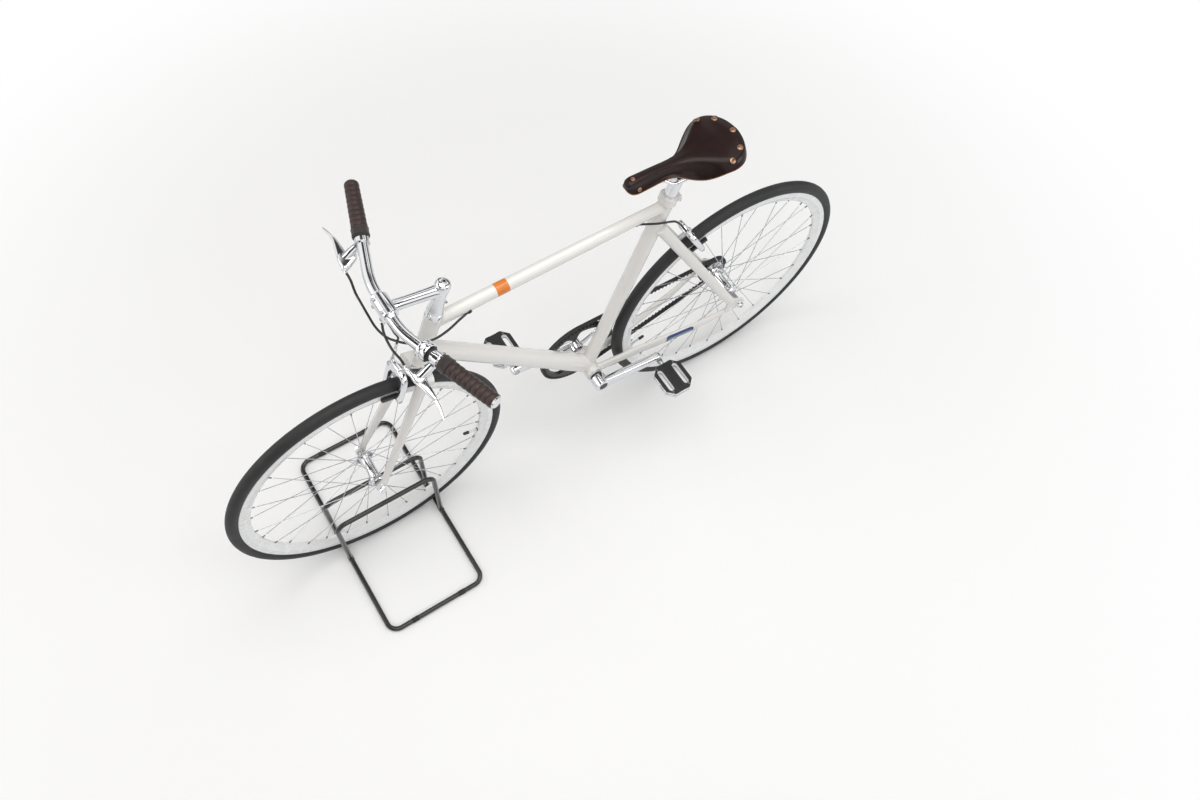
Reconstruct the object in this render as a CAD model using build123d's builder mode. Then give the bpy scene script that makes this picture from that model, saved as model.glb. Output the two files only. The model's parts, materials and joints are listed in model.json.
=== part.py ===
"""City bicycle with a belt drive, held upright by a wire floor stand around its front wheel.

Millimetres. +X is forward, +Y is the rider's left, +Z is up. The origin is on the floor,
midway between the axles. The belt is on the right side.
"""
import os
from math import atan2, cos, degrees, pi, radians, sin, sqrt, tan

from build123d import *

# ---------------------------------------------------------------- driving sizes
wheel_base = 1000.0
tyre_radius = 339.0  # to the tread
tyre_section = 28.7  # width of the tyre
rim_outer_radius = 314.3  # where the tyre leaves the rim
rim_depth = 30.0
rim_width = 21.2
rim_nose_width = 9.0

head_angle = 71.0  # steering axis from the floor
fork_rake = 44.2
crown_race_height = 372.0  # along the steering axis, from the foot of the front axle
head_tube_start = 384.0
head_tube_end = 525.0
head_tube_radius = 18.0
steerer_radius = 12.7

bracket_x = -92.0  # bottom bracket
bracket_height = 285.0
bracket_shell_radius = 21.0
bracket_shell_width = 68.0
seat_tube_radius = 17.0
seat_tube_foot = (-86.0, 285.0)  # x and z of its axis at the bottom bracket
seat_tube_top = (-264.5, 830.0)
top_tube_rear = (-256.9, 809.9)
top_tube_front = (293.0, 801.2)
top_tube_front_radius = 14.7
top_tube_rear_radius = 12.8
down_tube_foot = (-87.0, 295.9)
down_tube_head = (317.4, 724.5)
down_tube_head_radius = 19.5
down_tube_foot_radius = 23.5
tube_wall = 2.2

seatpost_radius = 13.6

front_hub_width = 100.0  # between the fork ends
rear_hub_width = 134.0  # between the dropouts
axle_radius = 5.0
plate_thickness = 6.0  # dropouts and fork ends
spoke_radius = 0.9
spoke_stand_off = 2.4  # from the middle of the flange to the spoke beside it
spokes_per_wheel = 32

belt_offset = 49.0  # from the middle of the bicycle
belt_width = 10.0
belt_pitch = 11.0
front_teeth = 60
rear_teeth = 24
sprocket_width = 9.0
crank_length = 170.0
crank_angle = 7.0  # right crank above level, pointing forward
crank_inner_face = 53.5
crank_thickness = 12.5
pedal_centre = 136.0
pedal_width = 92.0
pedal_length = 80.0
pedal_height = 19.0
pedal_corner = 17.0
pedal_slot_offset = 22.0
pedal_slot_width = 15.0
pedal_slot_margin = 13.0

bar_centre = (376.0, 922.0)
bar_tilt = 8.0
bar_sweep = 18.5
bar_straight = 60.0
bar_end = 277.0
bar_radius = 11.1
bar_clamp_radius = 12.7
bar_bend_radius = 180.0
grip_start = 157.0
grip_radius = 16.8
stem_radius = 11.5
stem_arm_start = (259.0, 890.5)
stem_arm_end = (370.0, 915.5)

stand_tube_radius = 6.0
stand_length = 257.0
stand_width = 526.0
stand_foot_spread = 76.0
stand_top_spread = 67.0
stand_height = 206.0
stand_corner_radius = 26.0
stand_centre_x = 501.5

cable_radius = 2.5
running_gap = 0.05  # radial, where a shaft turns in its bore
seat_gap = 0.3  # between faces that turn past each other
slip_gap = 0.02  # between pieces that are clamped together

# ---------------------------------------------------------------- places worked out from them
front_axle = Vector(wheel_base / 2, 0, tyre_radius)
rear_axle = Vector(-wheel_base / 2, 0, tyre_radius)
bracket = Vector(bracket_x, 0, bracket_height)
up_steering = Vector(-cos(radians(head_angle)), 0, sin(radians(head_angle)))
ahead_of_steering = Vector(sin(radians(head_angle)), 0, cos(radians(head_angle)))
steering_foot = front_axle - ahead_of_steering * fork_rake
along_seat_tube = (Vector(seat_tube_top[0], 0, seat_tube_top[1])
                   - Vector(seat_tube_foot[0], 0, seat_tube_foot[1])).normalized()
right = -1
left = 1
front_pitch_radius = front_teeth * belt_pitch / (2 * pi)
rear_pitch_radius = rear_teeth * belt_pitch / (2 * pi)


def on_steering(up, ahead=0.0, side=0.0):
    """A point given along, ahead of and beside the steering axis."""
    return steering_foot + up_steering * up + ahead_of_steering * ahead + Vector(0, side, 0)


def in_plane(xz, side=0.0):
    """A point given by its x and z in the bicycle's middle plane, moved sideways."""
    return Vector(xz[0], side, xz[1])


# ---------------------------------------------------------------- shapes used by several pieces
def rod(start, end, radius, end_radius=None, mode=Mode.ADD):
    """A round rod between two points, tapered when an end radius is given."""
    run = Vector(end) - Vector(start)
    with Locations(Plane(origin=start, z_dir=run)):
        if end_radius is None or end_radius == radius:
            Cylinder(radius, run.length, align=(Align.CENTER, Align.CENTER, Align.MIN), mode=mode)
        else:
            Cone(radius, end_radius, run.length,
                 align=(Align.CENTER, Align.CENTER, Align.MIN), mode=mode)


def ball(centre, radius, mode=Mode.ADD):
    with Locations(Location(Vector(centre))):
        Sphere(radius, mode=mode)


def hull_plate(plane, discs, thickness, mode=Mode.ADD):
    """A flat plate around discs (x, y, radius) joined by their common tangents, centred on plane."""
    with BuildSketch(plane) as outline:
        for x, y, radius in discs:
            with Locations((x, y)):
                Circle(radius)
        make_hull()
    extrude(outline.sketch, amount=thickness / 2, both=True, mode=mode)


def turned(plane, points, mode=Mode.ADD):
    """A solid of revolution about plane's X axis; points are (along, radius), given in order."""
    with BuildSketch(plane) as profile:
        with BuildLine():
            Polyline(*points, close=True)
        make_face()
    revolve(profile.sketch, axis=Axis(plane.origin, plane.x_dir), revolution_arc=360, mode=mode)


def across(centre):
    """The plane whose X axis runs along +Y through centre: for pieces that turn on an axle."""
    return Plane(origin=centre, x_dir=(0, 1, 0), z_dir=(1, 0, 0))


def side_plane(centre, side=0.0):
    """A plane parallel to the wheels with local x forward and local y up."""
    return Plane(origin=Vector(centre) + Vector(0, side, 0), x_dir=(1, 0, 0), z_dir=(0, -1, 0))


def bent_tube(name, points, radius):
    """A tube through points with the largest tangent arcs that its runs allow."""
    points = [Vector(p) for p in points]
    radii = []
    for before, here, after in zip(points, points[1:], points[2:]):
        arriving = here - before
        leaving = after - here
        turn = radians(arriving.get_angle(leaving))
        radii.append(0.45 * min(arriving.length, leaving.length) / tan(turn / 2))
    print(name, "bend radii", [round(r) for r in radii])
    with BuildLine() as route:
        FilletPolyline(*points, radius=radii)
    start = points[1] - points[0]
    with BuildSketch(Plane(origin=points[0], z_dir=start)) as section:
        Circle(radius)
    sweep(section.sketch, path=route.line)
    return sum(edge.length for edge in route.line.edges())


def finish(builder, name):
    builder.part.label = name
    export_step(builder.part, f"parts/{name}.step")


os.makedirs("parts", exist_ok=True)

# ================================================================ wheels


def tyre(axle):
    half = tyre_section / 2
    centre_radius = tyre_radius - half
    lip = rim_outer_radius - centre_radius
    bead = sqrt(half ** 2 - lip ** 2)
    with BuildSketch(across(axle)) as profile:
        with BuildLine():
            Line((-bead, rim_outer_radius), (bead, rim_outer_radius))
            ThreePointArc((bead, rim_outer_radius), (0, tyre_radius), (-bead, rim_outer_radius))
        make_face()
    revolve(profile.sketch, axis=Axis(axle, (0, 1, 0)))


def rim(axle):
    half = rim_width / 2
    nose = rim_nose_width / 2
    shoulder = rim_outer_radius - 13.0
    inner = rim_outer_radius - rim_depth
    with BuildSketch(across(axle)) as profile:
        with BuildLine():
            Polyline((-half, rim_outer_radius), (half, rim_outer_radius), (half, shoulder))
            ThreePointArc((half, shoulder), (half - 2.6, shoulder - 9.0), (nose, inner))
            Line((nose, inner), (-nose, inner))
            ThreePointArc((-nose, inner), (-half + 2.6, shoulder - 9.0), (-half, shoulder))
            Line((-half, shoulder), (-half, rim_outer_radius))
        make_face()
    revolve(profile.sketch, axis=Axis(axle, (0, 1, 0)))


def spokes(axle, flange_radius, flange_offsets):
    """Three-cross lacing; heads alternate between the inside and the outside of each flange."""
    per_flange = spokes_per_wheel // 2
    step = 360 / per_flange
    rim_end = rim_outer_radius - rim_depth - seat_gap
    for flange, side in zip(flange_offsets, (left, right)):
        for n in range(per_flange):
            leading = n % 2
            hole = n * step + (step / 2 if side == right else 0)
            lean = 2.4 * step if leading else -2.4 * step
            out = spoke_stand_off if leading else -spoke_stand_off
            foot = turned_point(axle, flange_radius, hole, flange + side * out)
            tip = turned_point(axle, rim_end, hole + lean, side * (2.4 + out / 2.4))
            rod(foot, tip, spoke_radius)


def turned_point(axle, radius, angle, side):
    return axle + Vector(radius * cos(radians(angle)), side, radius * sin(radians(angle)))


with BuildPart() as front_tyre:
    tyre(front_axle)
finish(front_tyre, "front_tyre")

with BuildPart() as rear_tyre:
    tyre(rear_axle)
finish(rear_tyre, "rear_tyre")

with BuildPart() as front_rim:
    rim(front_axle)
finish(front_rim, "front_rim")

with BuildPart() as rear_rim:
    rim(rear_axle)
finish(rear_rim, "rear_rim")

hub_bore = axle_radius + running_gap
front_flange = 33.0
front_flange_radius = 21.0
rear_flange_left = 32.0
rear_flange_right = 27.0
rear_flange_radius = 24.0
flange_thickness = 3.0
spoke_circle_inset = 3.5
front_hub_end = front_flange + 4.5
rear_hub_left = rear_flange_left + 5.0
sprocket_inner = belt_offset - sprocket_width / 2
sprocket_outer = belt_offset + sprocket_width / 2
freewheel_radius = 17.0

with BuildPart() as front_hub:
    r = front_flange_radius
    half = flange_thickness / 2
    turned(across(front_axle), [
        (-front_hub_end, hub_bore), (front_hub_end, hub_bore), (front_hub_end, 11),
        (front_flange + half, 12.5), (front_flange + half, r), (front_flange - half, r),
        (front_flange - half, 14), (front_flange - 8, 12.6), (-front_flange + 8, 12.6),
        (-front_flange + half, 14), (-front_flange + half, r), (-front_flange - half, r),
        (-front_flange - half, 12.5), (-front_hub_end, 11)])
finish(front_hub, "front_hub")

with BuildPart() as rear_hub:
    r = rear_flange_radius
    turned(across(rear_axle), [
        (-sprocket_outer, hub_bore), (rear_hub_left, hub_bore), (rear_hub_left, 12),
        (rear_flange_left + half, 14), (rear_flange_left + half, r),
        (rear_flange_left - half, r), (rear_flange_left - half, 16.5),
        (rear_flange_left - 9, 14.6), (-rear_flange_right + 9, 14.6),
        (-rear_flange_right + half, 16.5), (-rear_flange_right + half, r),
        (-rear_flange_right - half, r), (-rear_flange_right - half, 18.5),
        (-sprocket_inner + seat_gap, 19.2), (-sprocket_inner + seat_gap, freewheel_radius),
        (-sprocket_outer, freewheel_radius)])
finish(rear_hub, "rear_hub")

with BuildPart() as front_spokes:
    spokes(front_axle, front_flange_radius - spoke_circle_inset, (front_flange, -front_flange))
    hub_clearance = seat_gap + half
    for side in (left, right):
        rod(front_axle + Vector(0, side * (front_flange - hub_clearance), 0),
            front_axle + Vector(0, side * (front_flange + hub_clearance), 0),
            front_flange_radius + seat_gap, mode=Mode.SUBTRACT)
finish(front_spokes, "front_spokes")

with BuildPart() as rear_spokes:
    spokes(rear_axle, rear_flange_radius - spoke_circle_inset,
           (rear_flange_left, -rear_flange_right))
    for offset in (rear_flange_left, -rear_flange_right):
        rod(rear_axle + Vector(0, offset - hub_clearance, 0),
            rear_axle + Vector(0, offset + hub_clearance, 0),
            rear_flange_radius + seat_gap, mode=Mode.SUBTRACT)
finish(rear_spokes, "rear_spokes")


def axle_with_nuts(axle, cone_start_left, cone_start_right, hub_width, tip):
    """A threaded axle with its cones inside the frame ends and its nuts outside them."""
    rod(axle - Vector(0, tip, 0), axle + Vector(0, tip, 0), axle_radius)
    outside = hub_width / 2 + plate_thickness
    for side, cone_start in ((left, cone_start_left), (right, cone_start_right)):
        turned(across(axle), [
            (side * (cone_start + seat_gap), 0.5), (side * hub_width / 2, 0.5),
            (side * hub_width / 2, 8.5), (side * (cone_start + seat_gap), 8.5)])
        turned(across(axle), [
            (side * outside, 0.5), (side * (outside + 2), 0.5),
            (side * (outside + 2), 10.5), (side * outside, 10.5)])
        with BuildSketch(side_plane(axle, side * (outside + 2))) as nut:
            RegularPolygon(8.2, 6)
        extrude(nut.sketch, amount=-side * 8)


front_axle_tip = 65.0
rear_axle_tip = 86.0

with BuildPart() as front_axle_set:
    axle_with_nuts(front_axle, front_hub_end, front_hub_end, front_hub_width, front_axle_tip)
finish(front_axle_set, "front_axle")

with BuildPart() as rear_axle_set:
    axle_with_nuts(rear_axle, rear_hub_left, sprocket_outer, rear_hub_width, rear_axle_tip)
finish(rear_axle_set, "rear_axle")

# ================================================================ fork and headset
crown_under = crown_race_height - 22.0
crown_half_width = 44.5
crown_half_depth = 16.0
blade_offset = 31.0
blade_top_radius = 13.0
blade_end_radius = 8.0
fork_end_offset = front_hub_width / 2 + plate_thickness / 2
blade_end_distance = 24.0  # from the axle to the end of the tapered blade
headset_ring_start = 531.3
headset_ring_end = 540.0
cup_height = 6.0


def crown_solid(mode=Mode.ADD):
    """The fork crown: a shallow arch over the tyre with rounded shoulders."""
    plane = Plane(origin=on_steering(crown_under + 11.0), x_dir=(0, 1, 0), z_dir=ahead_of_steering)
    with BuildSketch(plane) as outline:
        with BuildLine():
            Polyline((-crown_half_width, -11), (crown_half_width, -11), (crown_half_width, 0))
            ThreePointArc((crown_half_width, 0), (crown_half_width - 8, 8), (24, 11))
            Line((24, 11), (-24, 11))
            ThreePointArc((-24, 11), (-crown_half_width + 8, 8), (-crown_half_width, 0))
            Line((-crown_half_width, 0), (-crown_half_width, -11))
        make_face()
    extrude(outline.sketch, amount=crown_half_depth, both=True, mode=mode)


with BuildPart() as fork_crown:
    crown_solid()
    rod(on_steering(crown_under + 20), on_steering(headset_ring_end), steerer_radius)
    rod(on_steering(crown_race_height - 3), on_steering(crown_race_height), 16.5)
finish(fork_crown, "fork_crown")


def fork_blade(side):
    crown_foot = on_steering(crown_under - 0.5, 0, side * blade_offset)
    towards_crown = (on_steering(crown_under) - front_axle).normalized()
    blade_end = front_axle + towards_crown * blade_end_distance
    blade_end = blade_end + Vector(0, side * fork_end_offset, 0)
    inside_crown = crown_foot + (crown_foot - blade_end).normalized() * 9
    rod(blade_end, inside_crown, blade_end_radius, blade_top_radius)
    ball(blade_end, blade_end_radius - 0.2)
    crown_solid(mode=Mode.SUBTRACT)
    plane = side_plane(front_axle, side * fork_end_offset)
    reach = towards_crown * (blade_end_distance + 6)
    hull_plate(plane, [(0, 0, 11.5), (reach.X, reach.Z, 7.0)], plate_thickness)
    rod(front_axle - Vector(0, 100, 0), front_axle + Vector(0, 100, 0),
        axle_radius + slip_gap, mode=Mode.SUBTRACT)


for name, side in (("left_fork_blade", left), ("right_fork_blade", right)):
    with BuildPart() as blade:
        fork_blade(side)
    finish(blade, name)

with BuildPart() as headset_cups:
    for start, end in ((crown_race_height + seat_gap, head_tube_start),
                       (head_tube_end, head_tube_end + cup_height)):
        rod(on_steering(start), on_steering(end), head_tube_radius - 0.6)
        rod(on_steering(start - 1), on_steering(end + 1), steerer_radius + running_gap,
            mode=Mode.SUBTRACT)
finish(headset_cups, "headset_cups")

with BuildPart() as headset_top:
    rod(on_steering(headset_ring_start), on_steering(headset_ring_end), head_tube_radius - 0.8)
    rod(on_steering(headset_ring_start - 1), on_steering(headset_ring_end + 1),
        steerer_radius + slip_gap, mode=Mode.SUBTRACT)
    chamfer(headset_top.faces().sort_by(Axis.Z)[-1].edges(), 1.2)
finish(headset_top, "headset_top")

# ================================================================ stem, handlebar and grips
stem_top = 614.0
stem_cap_height = 4.0
clamp_half_width = 24.0
clamp_radius = 17.5
bar_point = in_plane(bar_centre)
arm_direction = (in_plane(stem_arm_end) - in_plane(stem_arm_start)).normalized()
clamp_split = Plane(origin=bar_point + arm_direction * 0.6, x_dir=(0, 1, 0), z_dir=arm_direction)


def clamp_barrel():
    rod(bar_point - Vector(0, clamp_half_width, 0), bar_point + Vector(0, clamp_half_width, 0),
        clamp_radius)


def bar_bore():
    rod(bar_point - Vector(0, 60, 0), bar_point + Vector(0, 60, 0), bar_clamp_radius + slip_gap,
        mode=Mode.SUBTRACT)


with BuildPart() as stem:
    rod(on_steering(headset_ring_end), on_steering(stem_top), 13.2, 15.2)
    rod(on_steering(stem_top), on_steering(stem_top + stem_cap_height), 15.8)
    rod(on_steering(stem_top + stem_cap_height), on_steering(stem_top + stem_cap_height + 6), 5.5)
    rod(in_plane(stem_arm_start), in_plane(stem_arm_end), stem_radius)
    clamp_barrel()
    split(bisect_by=clamp_split.offset(-1.2), keep=Keep.BOTTOM)
    bar_bore()
finish(stem, "stem")

faceplate_bolt_side = 16.0
faceplate_bolt_up = 10.5

with BuildPart() as stem_faceplate:
    clamp_barrel()
    split(bisect_by=clamp_split, keep=Keep.TOP)
    for side in (left, right):
        for up in (-1, 1):
            seat = clamp_split.from_local_coords(
                (side * faceplate_bolt_side, up * faceplate_bolt_up, clamp_radius - 8.0))
            rod(seat, seat + arm_direction * 7.0, 3.2)
    bar_bore()
finish(stem_faceplate, "stem_faceplate")

bar_plane = Plane(origin=bar_point, x_dir=(0, 1, 0),
                  z_dir=Vector(0, 1, 0).cross(
                      Vector(-cos(radians(bar_tilt)), 0, sin(radians(bar_tilt)))))


def on_bar(side_distance):
    """The bar's centre line at a distance from the middle; the sign picks the side."""
    out = abs(side_distance)
    back = max(0.0, out - bar_straight) * tan(radians(bar_sweep))
    return bar_plane.from_local_coords((side_distance, back, 0))


with BuildPart() as handlebar:
    with BuildLine() as bar_route:
        FilletPolyline(on_bar(-bar_end), on_bar(-bar_straight), on_bar(bar_straight),
                       on_bar(bar_end), radius=bar_bend_radius)
    with BuildSketch(Plane(origin=on_bar(-bar_end),
                           z_dir=on_bar(-bar_straight) - on_bar(-bar_end))) as bar_section:
        Circle(bar_radius)
    sweep(bar_section.sketch, path=bar_route.line)
    for side in (left, right):
        middle = bar_point
        rod(middle, middle + Vector(0, side * 26, 0), bar_clamp_radius)
        rod(middle + Vector(0, side * 26, 0), middle + Vector(0, side * 34, 0),
            bar_clamp_radius, bar_radius - 0.3)
        outward = (on_bar(side * bar_end) - on_bar(side * bar_straight)).normalized()
        rod(on_bar(side * bar_end), on_bar(side * bar_end) + outward * 3.0, 13.0, 11.0)
finish(handlebar, "handlebar")

grip_collar_length = 21.0
grip_puffs = 8


def grip(side):
    """A wrapped leather grip: a plain collar inboard, then a row of puffs between stitched seams."""
    start = on_bar(side * grip_start)
    end = on_bar(side * bar_end)
    run = end - start
    plane = Plane(origin=start, x_dir=run, z_dir=run.cross(Vector(0, 0, 1)))
    bore = bar_radius + slip_gap
    puff = (run.length - grip_collar_length) / grip_puffs
    with BuildSketch(plane) as profile:
        with BuildLine():
            Polyline((run.length, 15.4), (run.length, bore), (0, bore), (0, grip_radius),
                     (grip_collar_length, grip_radius), (grip_collar_length, 15.4))
            for n in range(grip_puffs):
                here = grip_collar_length + n * puff
                ThreePointArc((here, 15.4), (here + puff / 2, grip_radius), (here + puff, 15.4))
        make_face()
    revolve(profile.sketch, axis=Axis(plane.origin, plane.x_dir))


for name, side in (("left_grip", left), ("right_grip", right)):
    with BuildPart() as grip_part:
        grip(side)
    finish(grip_part, name)

# ================================================================ brake levers and bell
lever_clamp = 148.0
lever_ring_width = 11.0


def lever(side):
    """Clamp ring, bracket and slim blade of one brake lever."""
    ring_point = on_bar(side * lever_clamp)
    outward = (on_bar(side * bar_end) - on_bar(side * bar_straight)).normalized()
    half_ring = outward * (lever_ring_width / 2)
    pivot = Vector(389, side * 150, 899)
    cable_stop = Vector(399, side * 126, 900)
    rod(ring_point - half_ring, ring_point + half_ring, 14.6)
    rod(ring_point + Vector(11, 0, -3), pivot + Vector(-3, side * 6, 1), 5.6, 6.4)
    rod(ring_point + Vector(11, 0, -5), pivot + Vector(-4, -side * 10, -1), 4.6, 5.4)
    rod(pivot + Vector(-3, side * 9, 0), cable_stop + Vector(-2.5, side * 7, 0), 7.6)
    rod(cable_stop + Vector(0, side * 10, 0), cable_stop, 5.0, 4.2)
    blade = [pivot + Vector(1, side * 8, 0), Vector(385.5, side * 181, 899),
             Vector(384.5, side * 203, 897), Vector(386, side * 224, 894),
             Vector(389.5, side * 242, 890)]
    radii = [6.0, 4.6, 3.9, 3.4, 2.8]
    for here, there, radius, next_radius in zip(blade, blade[1:], radii, radii[1:]):
        rod(here, there, radius, next_radius)
        ball(there, next_radius)
    rod(ring_point - half_ring * 4, ring_point + half_ring * 4, bar_radius + slip_gap,
        mode=Mode.SUBTRACT)


for name, side in (("left_brake_lever", left), ("right_brake_lever", right)):
    with BuildPart() as lever_part:
        lever(side)
    finish(lever_part, name)

bell_place = 121.0
bell_radius = 19.5
bell_wall = 2.6
bell_width = 20.0
bell_point = on_bar(bell_place)
bell_axis = (on_bar(bar_end) - on_bar(bar_straight)).normalized()
bell_plane = Plane(origin=bell_point, x_dir=bell_axis.cross(Vector(0, 0, 1)), z_dir=bell_axis)

with BuildPart() as bell:
    with BuildSketch(bell_plane) as ring:
        Circle(bell_radius)
        Circle(bell_radius - bell_wall, mode=Mode.SUBTRACT)
        with Locations((-bell_radius, 0)):
            Rectangle(22, 15, mode=Mode.SUBTRACT)
    extrude(ring.sketch, amount=bell_width / 2, both=True)
finish(bell, "bell")

with BuildPart() as bell_mount:
    rod(bell_point - bell_axis * 5, bell_point + bell_axis * 5, bell_radius - bell_wall - seat_gap)
    rod(bell_point + bell_axis * 5, bell_point + bell_axis * 14, 14.5)
    with BuildSketch(bell_plane.offset(7)) as striker:
        with Locations((-16.5, 0)):
            Rectangle(13, 9)
    extrude(striker.sketch, amount=11)
    rod(bell_point - bell_axis * 40, bell_point + bell_axis * 40, bar_radius + slip_gap,
        mode=Mode.SUBTRACT)
finish(bell_mount, "bell_mount")

# ================================================================ frame


def head_tube_solid(mode=Mode.ADD):
    rod(on_steering(head_tube_start), on_steering(head_tube_end), head_tube_radius, mode=mode)


seat_low = in_plane(seat_tube_foot)
seat_high = in_plane(seat_tube_top)


def seat_tube_solid(mode=Mode.ADD):
    rod(seat_low, seat_high, seat_tube_radius, mode=mode)


def bracket_solid(mode=Mode.ADD):
    half_width = bracket_shell_width / 2
    rod(bracket - Vector(0, half_width, 0), bracket + Vector(0, half_width, 0),
        bracket_shell_radius, mode=mode)


with BuildPart() as head_tube:
    head_tube_solid()
    rod(on_steering(head_tube_start - 1), on_steering(head_tube_end + 1),
        head_tube_radius - tube_wall, mode=Mode.SUBTRACT)
finish(head_tube, "head_tube")

cable_entry = Vector(217.0, 12.5, 797.5)  # where the cable goes into the top tube
entry_direction = Vector(-1.0, -0.3, 0.0).normalized()
top_tube_start = in_plane(top_tube_rear)
top_tube_end = in_plane(top_tube_front)

cable_exit = [Vector(-168.0, 3.0, 805.0), Vector(-198.0, 12.5, 798.5), Vector(-226.0, 20.3, 790.5)]

with BuildPart() as top_tube:
    rod(top_tube_start, top_tube_end, top_tube_rear_radius, top_tube_front_radius)
    rod(top_tube_start, top_tube_end, top_tube_rear_radius - tube_wall,
        top_tube_front_radius - tube_wall, mode=Mode.SUBTRACT)
    seat_tube_solid(mode=Mode.SUBTRACT)
    rod(on_steering(head_tube_start), on_steering(headset_ring_end), head_tube_radius,
        mode=Mode.SUBTRACT)
    rod(cable_entry - entry_direction * 30, cable_entry + entry_direction * 30,
        cable_radius + seat_gap, mode=Mode.SUBTRACT)
    for here, there in zip(cable_exit, cable_exit[1:]):
        rod(here, there, cable_radius + seat_gap, mode=Mode.SUBTRACT)
finish(top_tube, "top_tube")

with BuildPart() as down_tube:
    foot = in_plane(down_tube_foot)
    top = in_plane(down_tube_head)
    rod(foot, top, down_tube_foot_radius, down_tube_head_radius)
    rod(foot, top, down_tube_foot_radius - tube_wall, down_tube_head_radius - tube_wall,
        mode=Mode.SUBTRACT)
    head_tube_solid(mode=Mode.SUBTRACT)
    bracket_solid(mode=Mode.SUBTRACT)
    seat_tube_solid(mode=Mode.SUBTRACT)
finish(down_tube, "down_tube")

with BuildPart() as seat_tube:
    seat_tube_solid()
    rod(seat_low, seat_high + along_seat_tube * 5, seatpost_radius + slip_gap, mode=Mode.SUBTRACT)
    bracket_solid(mode=Mode.SUBTRACT)
finish(seat_tube, "seat_tube")

spindle_radius = 8.5

with BuildPart() as bottom_bracket_shell:
    bracket_solid()
    rod(bracket - Vector(0, 50, 0), bracket + Vector(0, 50, 0), 17.0, mode=Mode.SUBTRACT)
finish(bottom_bracket_shell, "bottom_bracket_shell")

with BuildPart() as bottom_bracket_cups:
    half_width = bracket_shell_width / 2
    for side in (left, right):
        rod(bracket + Vector(0, side * (half_width - 14), 0),
            bracket + Vector(0, side * half_width, 0), 17.0 - slip_gap)
        rod(bracket + Vector(0, side * half_width, 0),
            bracket + Vector(0, side * (half_width + 4), 0), 19.0)
    rod(bracket - Vector(0, 60, 0), bracket + Vector(0, 60, 0), spindle_radius + running_gap,
        mode=Mode.SUBTRACT)
finish(bottom_bracket_cups, "bottom_bracket_cups")

dropout_offset = rear_hub_width / 2 + plate_thickness / 2
stay_end_offset = dropout_offset


def dropout(side, mode=Mode.ADD):
    hull_plate(side_plane(rear_axle, side * dropout_offset),
               [(0, 0, 15.0), (34, -5, 8.0), (29, 26, 9.0)], plate_thickness, mode=mode)


with BuildPart() as rear_dropouts:
    for side in (left, right):
        dropout(side)
    rod(rear_axle - Vector(0, 100, 0), rear_axle + Vector(0, 100, 0), axle_radius + slip_gap,
        mode=Mode.SUBTRACT)
finish(rear_dropouts, "rear_dropouts")

chainstay_stations = [  # x, offset, z, half height, half width
    (bracket_x - 14, 20.5, 285.0, 14.0, 8.0), (-205.0, 31.0, 291.5, 16.0, 7.2),
    (-300.0, 44.5, 298.0, 15.5, 7.0), (-385.0, 56.8, 307.0, 13.0, 6.4),
    (-440.0, 65.0, 321.0, 9.5, 6.0), (-476.0, stay_end_offset, 333.0, 7.5, 5.5)]


def chainstay(side):
    sections = []
    for x, offset, z, tall, wide in chainstay_stations:
        plane = Plane(origin=(x, side * offset, z), x_dir=(0, 1, 0), z_dir=(-1, 0, 0))
        with BuildSketch(plane) as section:
            Ellipse(wide, tall)
        sections.append(section.sketch)
    loft(sections, ruled=True)


for name, side in (("left_chainstay", left), ("right_chainstay", right)):
    with BuildPart() as stay:
        chainstay(side)
        bracket_solid(mode=Mode.SUBTRACT)
        seat_tube_solid(mode=Mode.SUBTRACT)
        dropout(side, mode=Mode.SUBTRACT)
    finish(stay, name)

stay_direction = Vector(0.5, 0, 0.866).normalized()
stay_back = Vector(0, 1, 0).cross(stay_direction) * -1
bridge_distance = 363.0
rear_barrel_side = 16.0
rear_barrel_top = 30.0
caliper_behind = 36.0
stay_line_offset = -13.0  # the stays pass a little ahead of the axle


def on_stay(distance, back=0.0, side=0.0):
    """A point given along the seatstays from the rear axle, behind them and beside them."""
    return (rear_axle + stay_direction * distance + stay_back * (stay_line_offset + back)
            + Vector(0, side, 0))


seatstay_stations = [  # distance from the axle, offset, half width in side view, half thickness
    (32.0, stay_end_offset, 9.5, 5.5), (66.0, 65.0, 12.0, 5.8), (363.0, 33.5, 13.0, 7.0),
    (474.0, 19.5, 13.5, 7.6), (490.0, 17.5, 13.5, 7.6)]

with BuildPart() as seatstays:
    for side in (left, right):
        sections = []
        for distance, offset, wide, thick in seatstay_stations:
            with BuildSketch(Plane(origin=on_stay(distance, 0, side * offset),
                                   x_dir=(0, 1, 0), z_dir=stay_direction),
                             mode=Mode.PRIVATE) as section:
                Ellipse(thick, wide)
            sections.append(section.sketch)
        loft(sections, ruled=True)
        dropout(side, mode=Mode.SUBTRACT)
    rod(on_stay(bridge_distance, 0, -34), on_stay(bridge_distance, 0, 34), 7.0)
    seat_tube_solid(mode=Mode.SUBTRACT)
finish(seatstays, "seatstays")

with BuildPart() as seat_collar:
    top = seat_high
    rod(top - along_seat_tube * 9, top + along_seat_tube * 6, seat_tube_radius + 3.4)
    back = Vector(-1, 0, 0)
    ear = top - along_seat_tube * 1.5 + back * (seat_tube_radius + 6)
    rod(ear - Vector(0, 11, 0), ear + Vector(0, 11, 0), 5.2)
    rod(top - along_seat_tube * 30, top + along_seat_tube * 0, seat_tube_radius + slip_gap,
        mode=Mode.SUBTRACT)
    rod(top - along_seat_tube * 3, top + along_seat_tube * 30, seatpost_radius + slip_gap,
        mode=Mode.SUBTRACT)
finish(seat_collar, "seat_collar")

# ================================================================ seatpost and saddle
post_top = seat_high + along_seat_tube * 53.0
post_bottom = seat_high - along_seat_tube * 120.0
rail_offset = 21.0
rail_radius = 3.5
rail_height = 902.0

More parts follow.
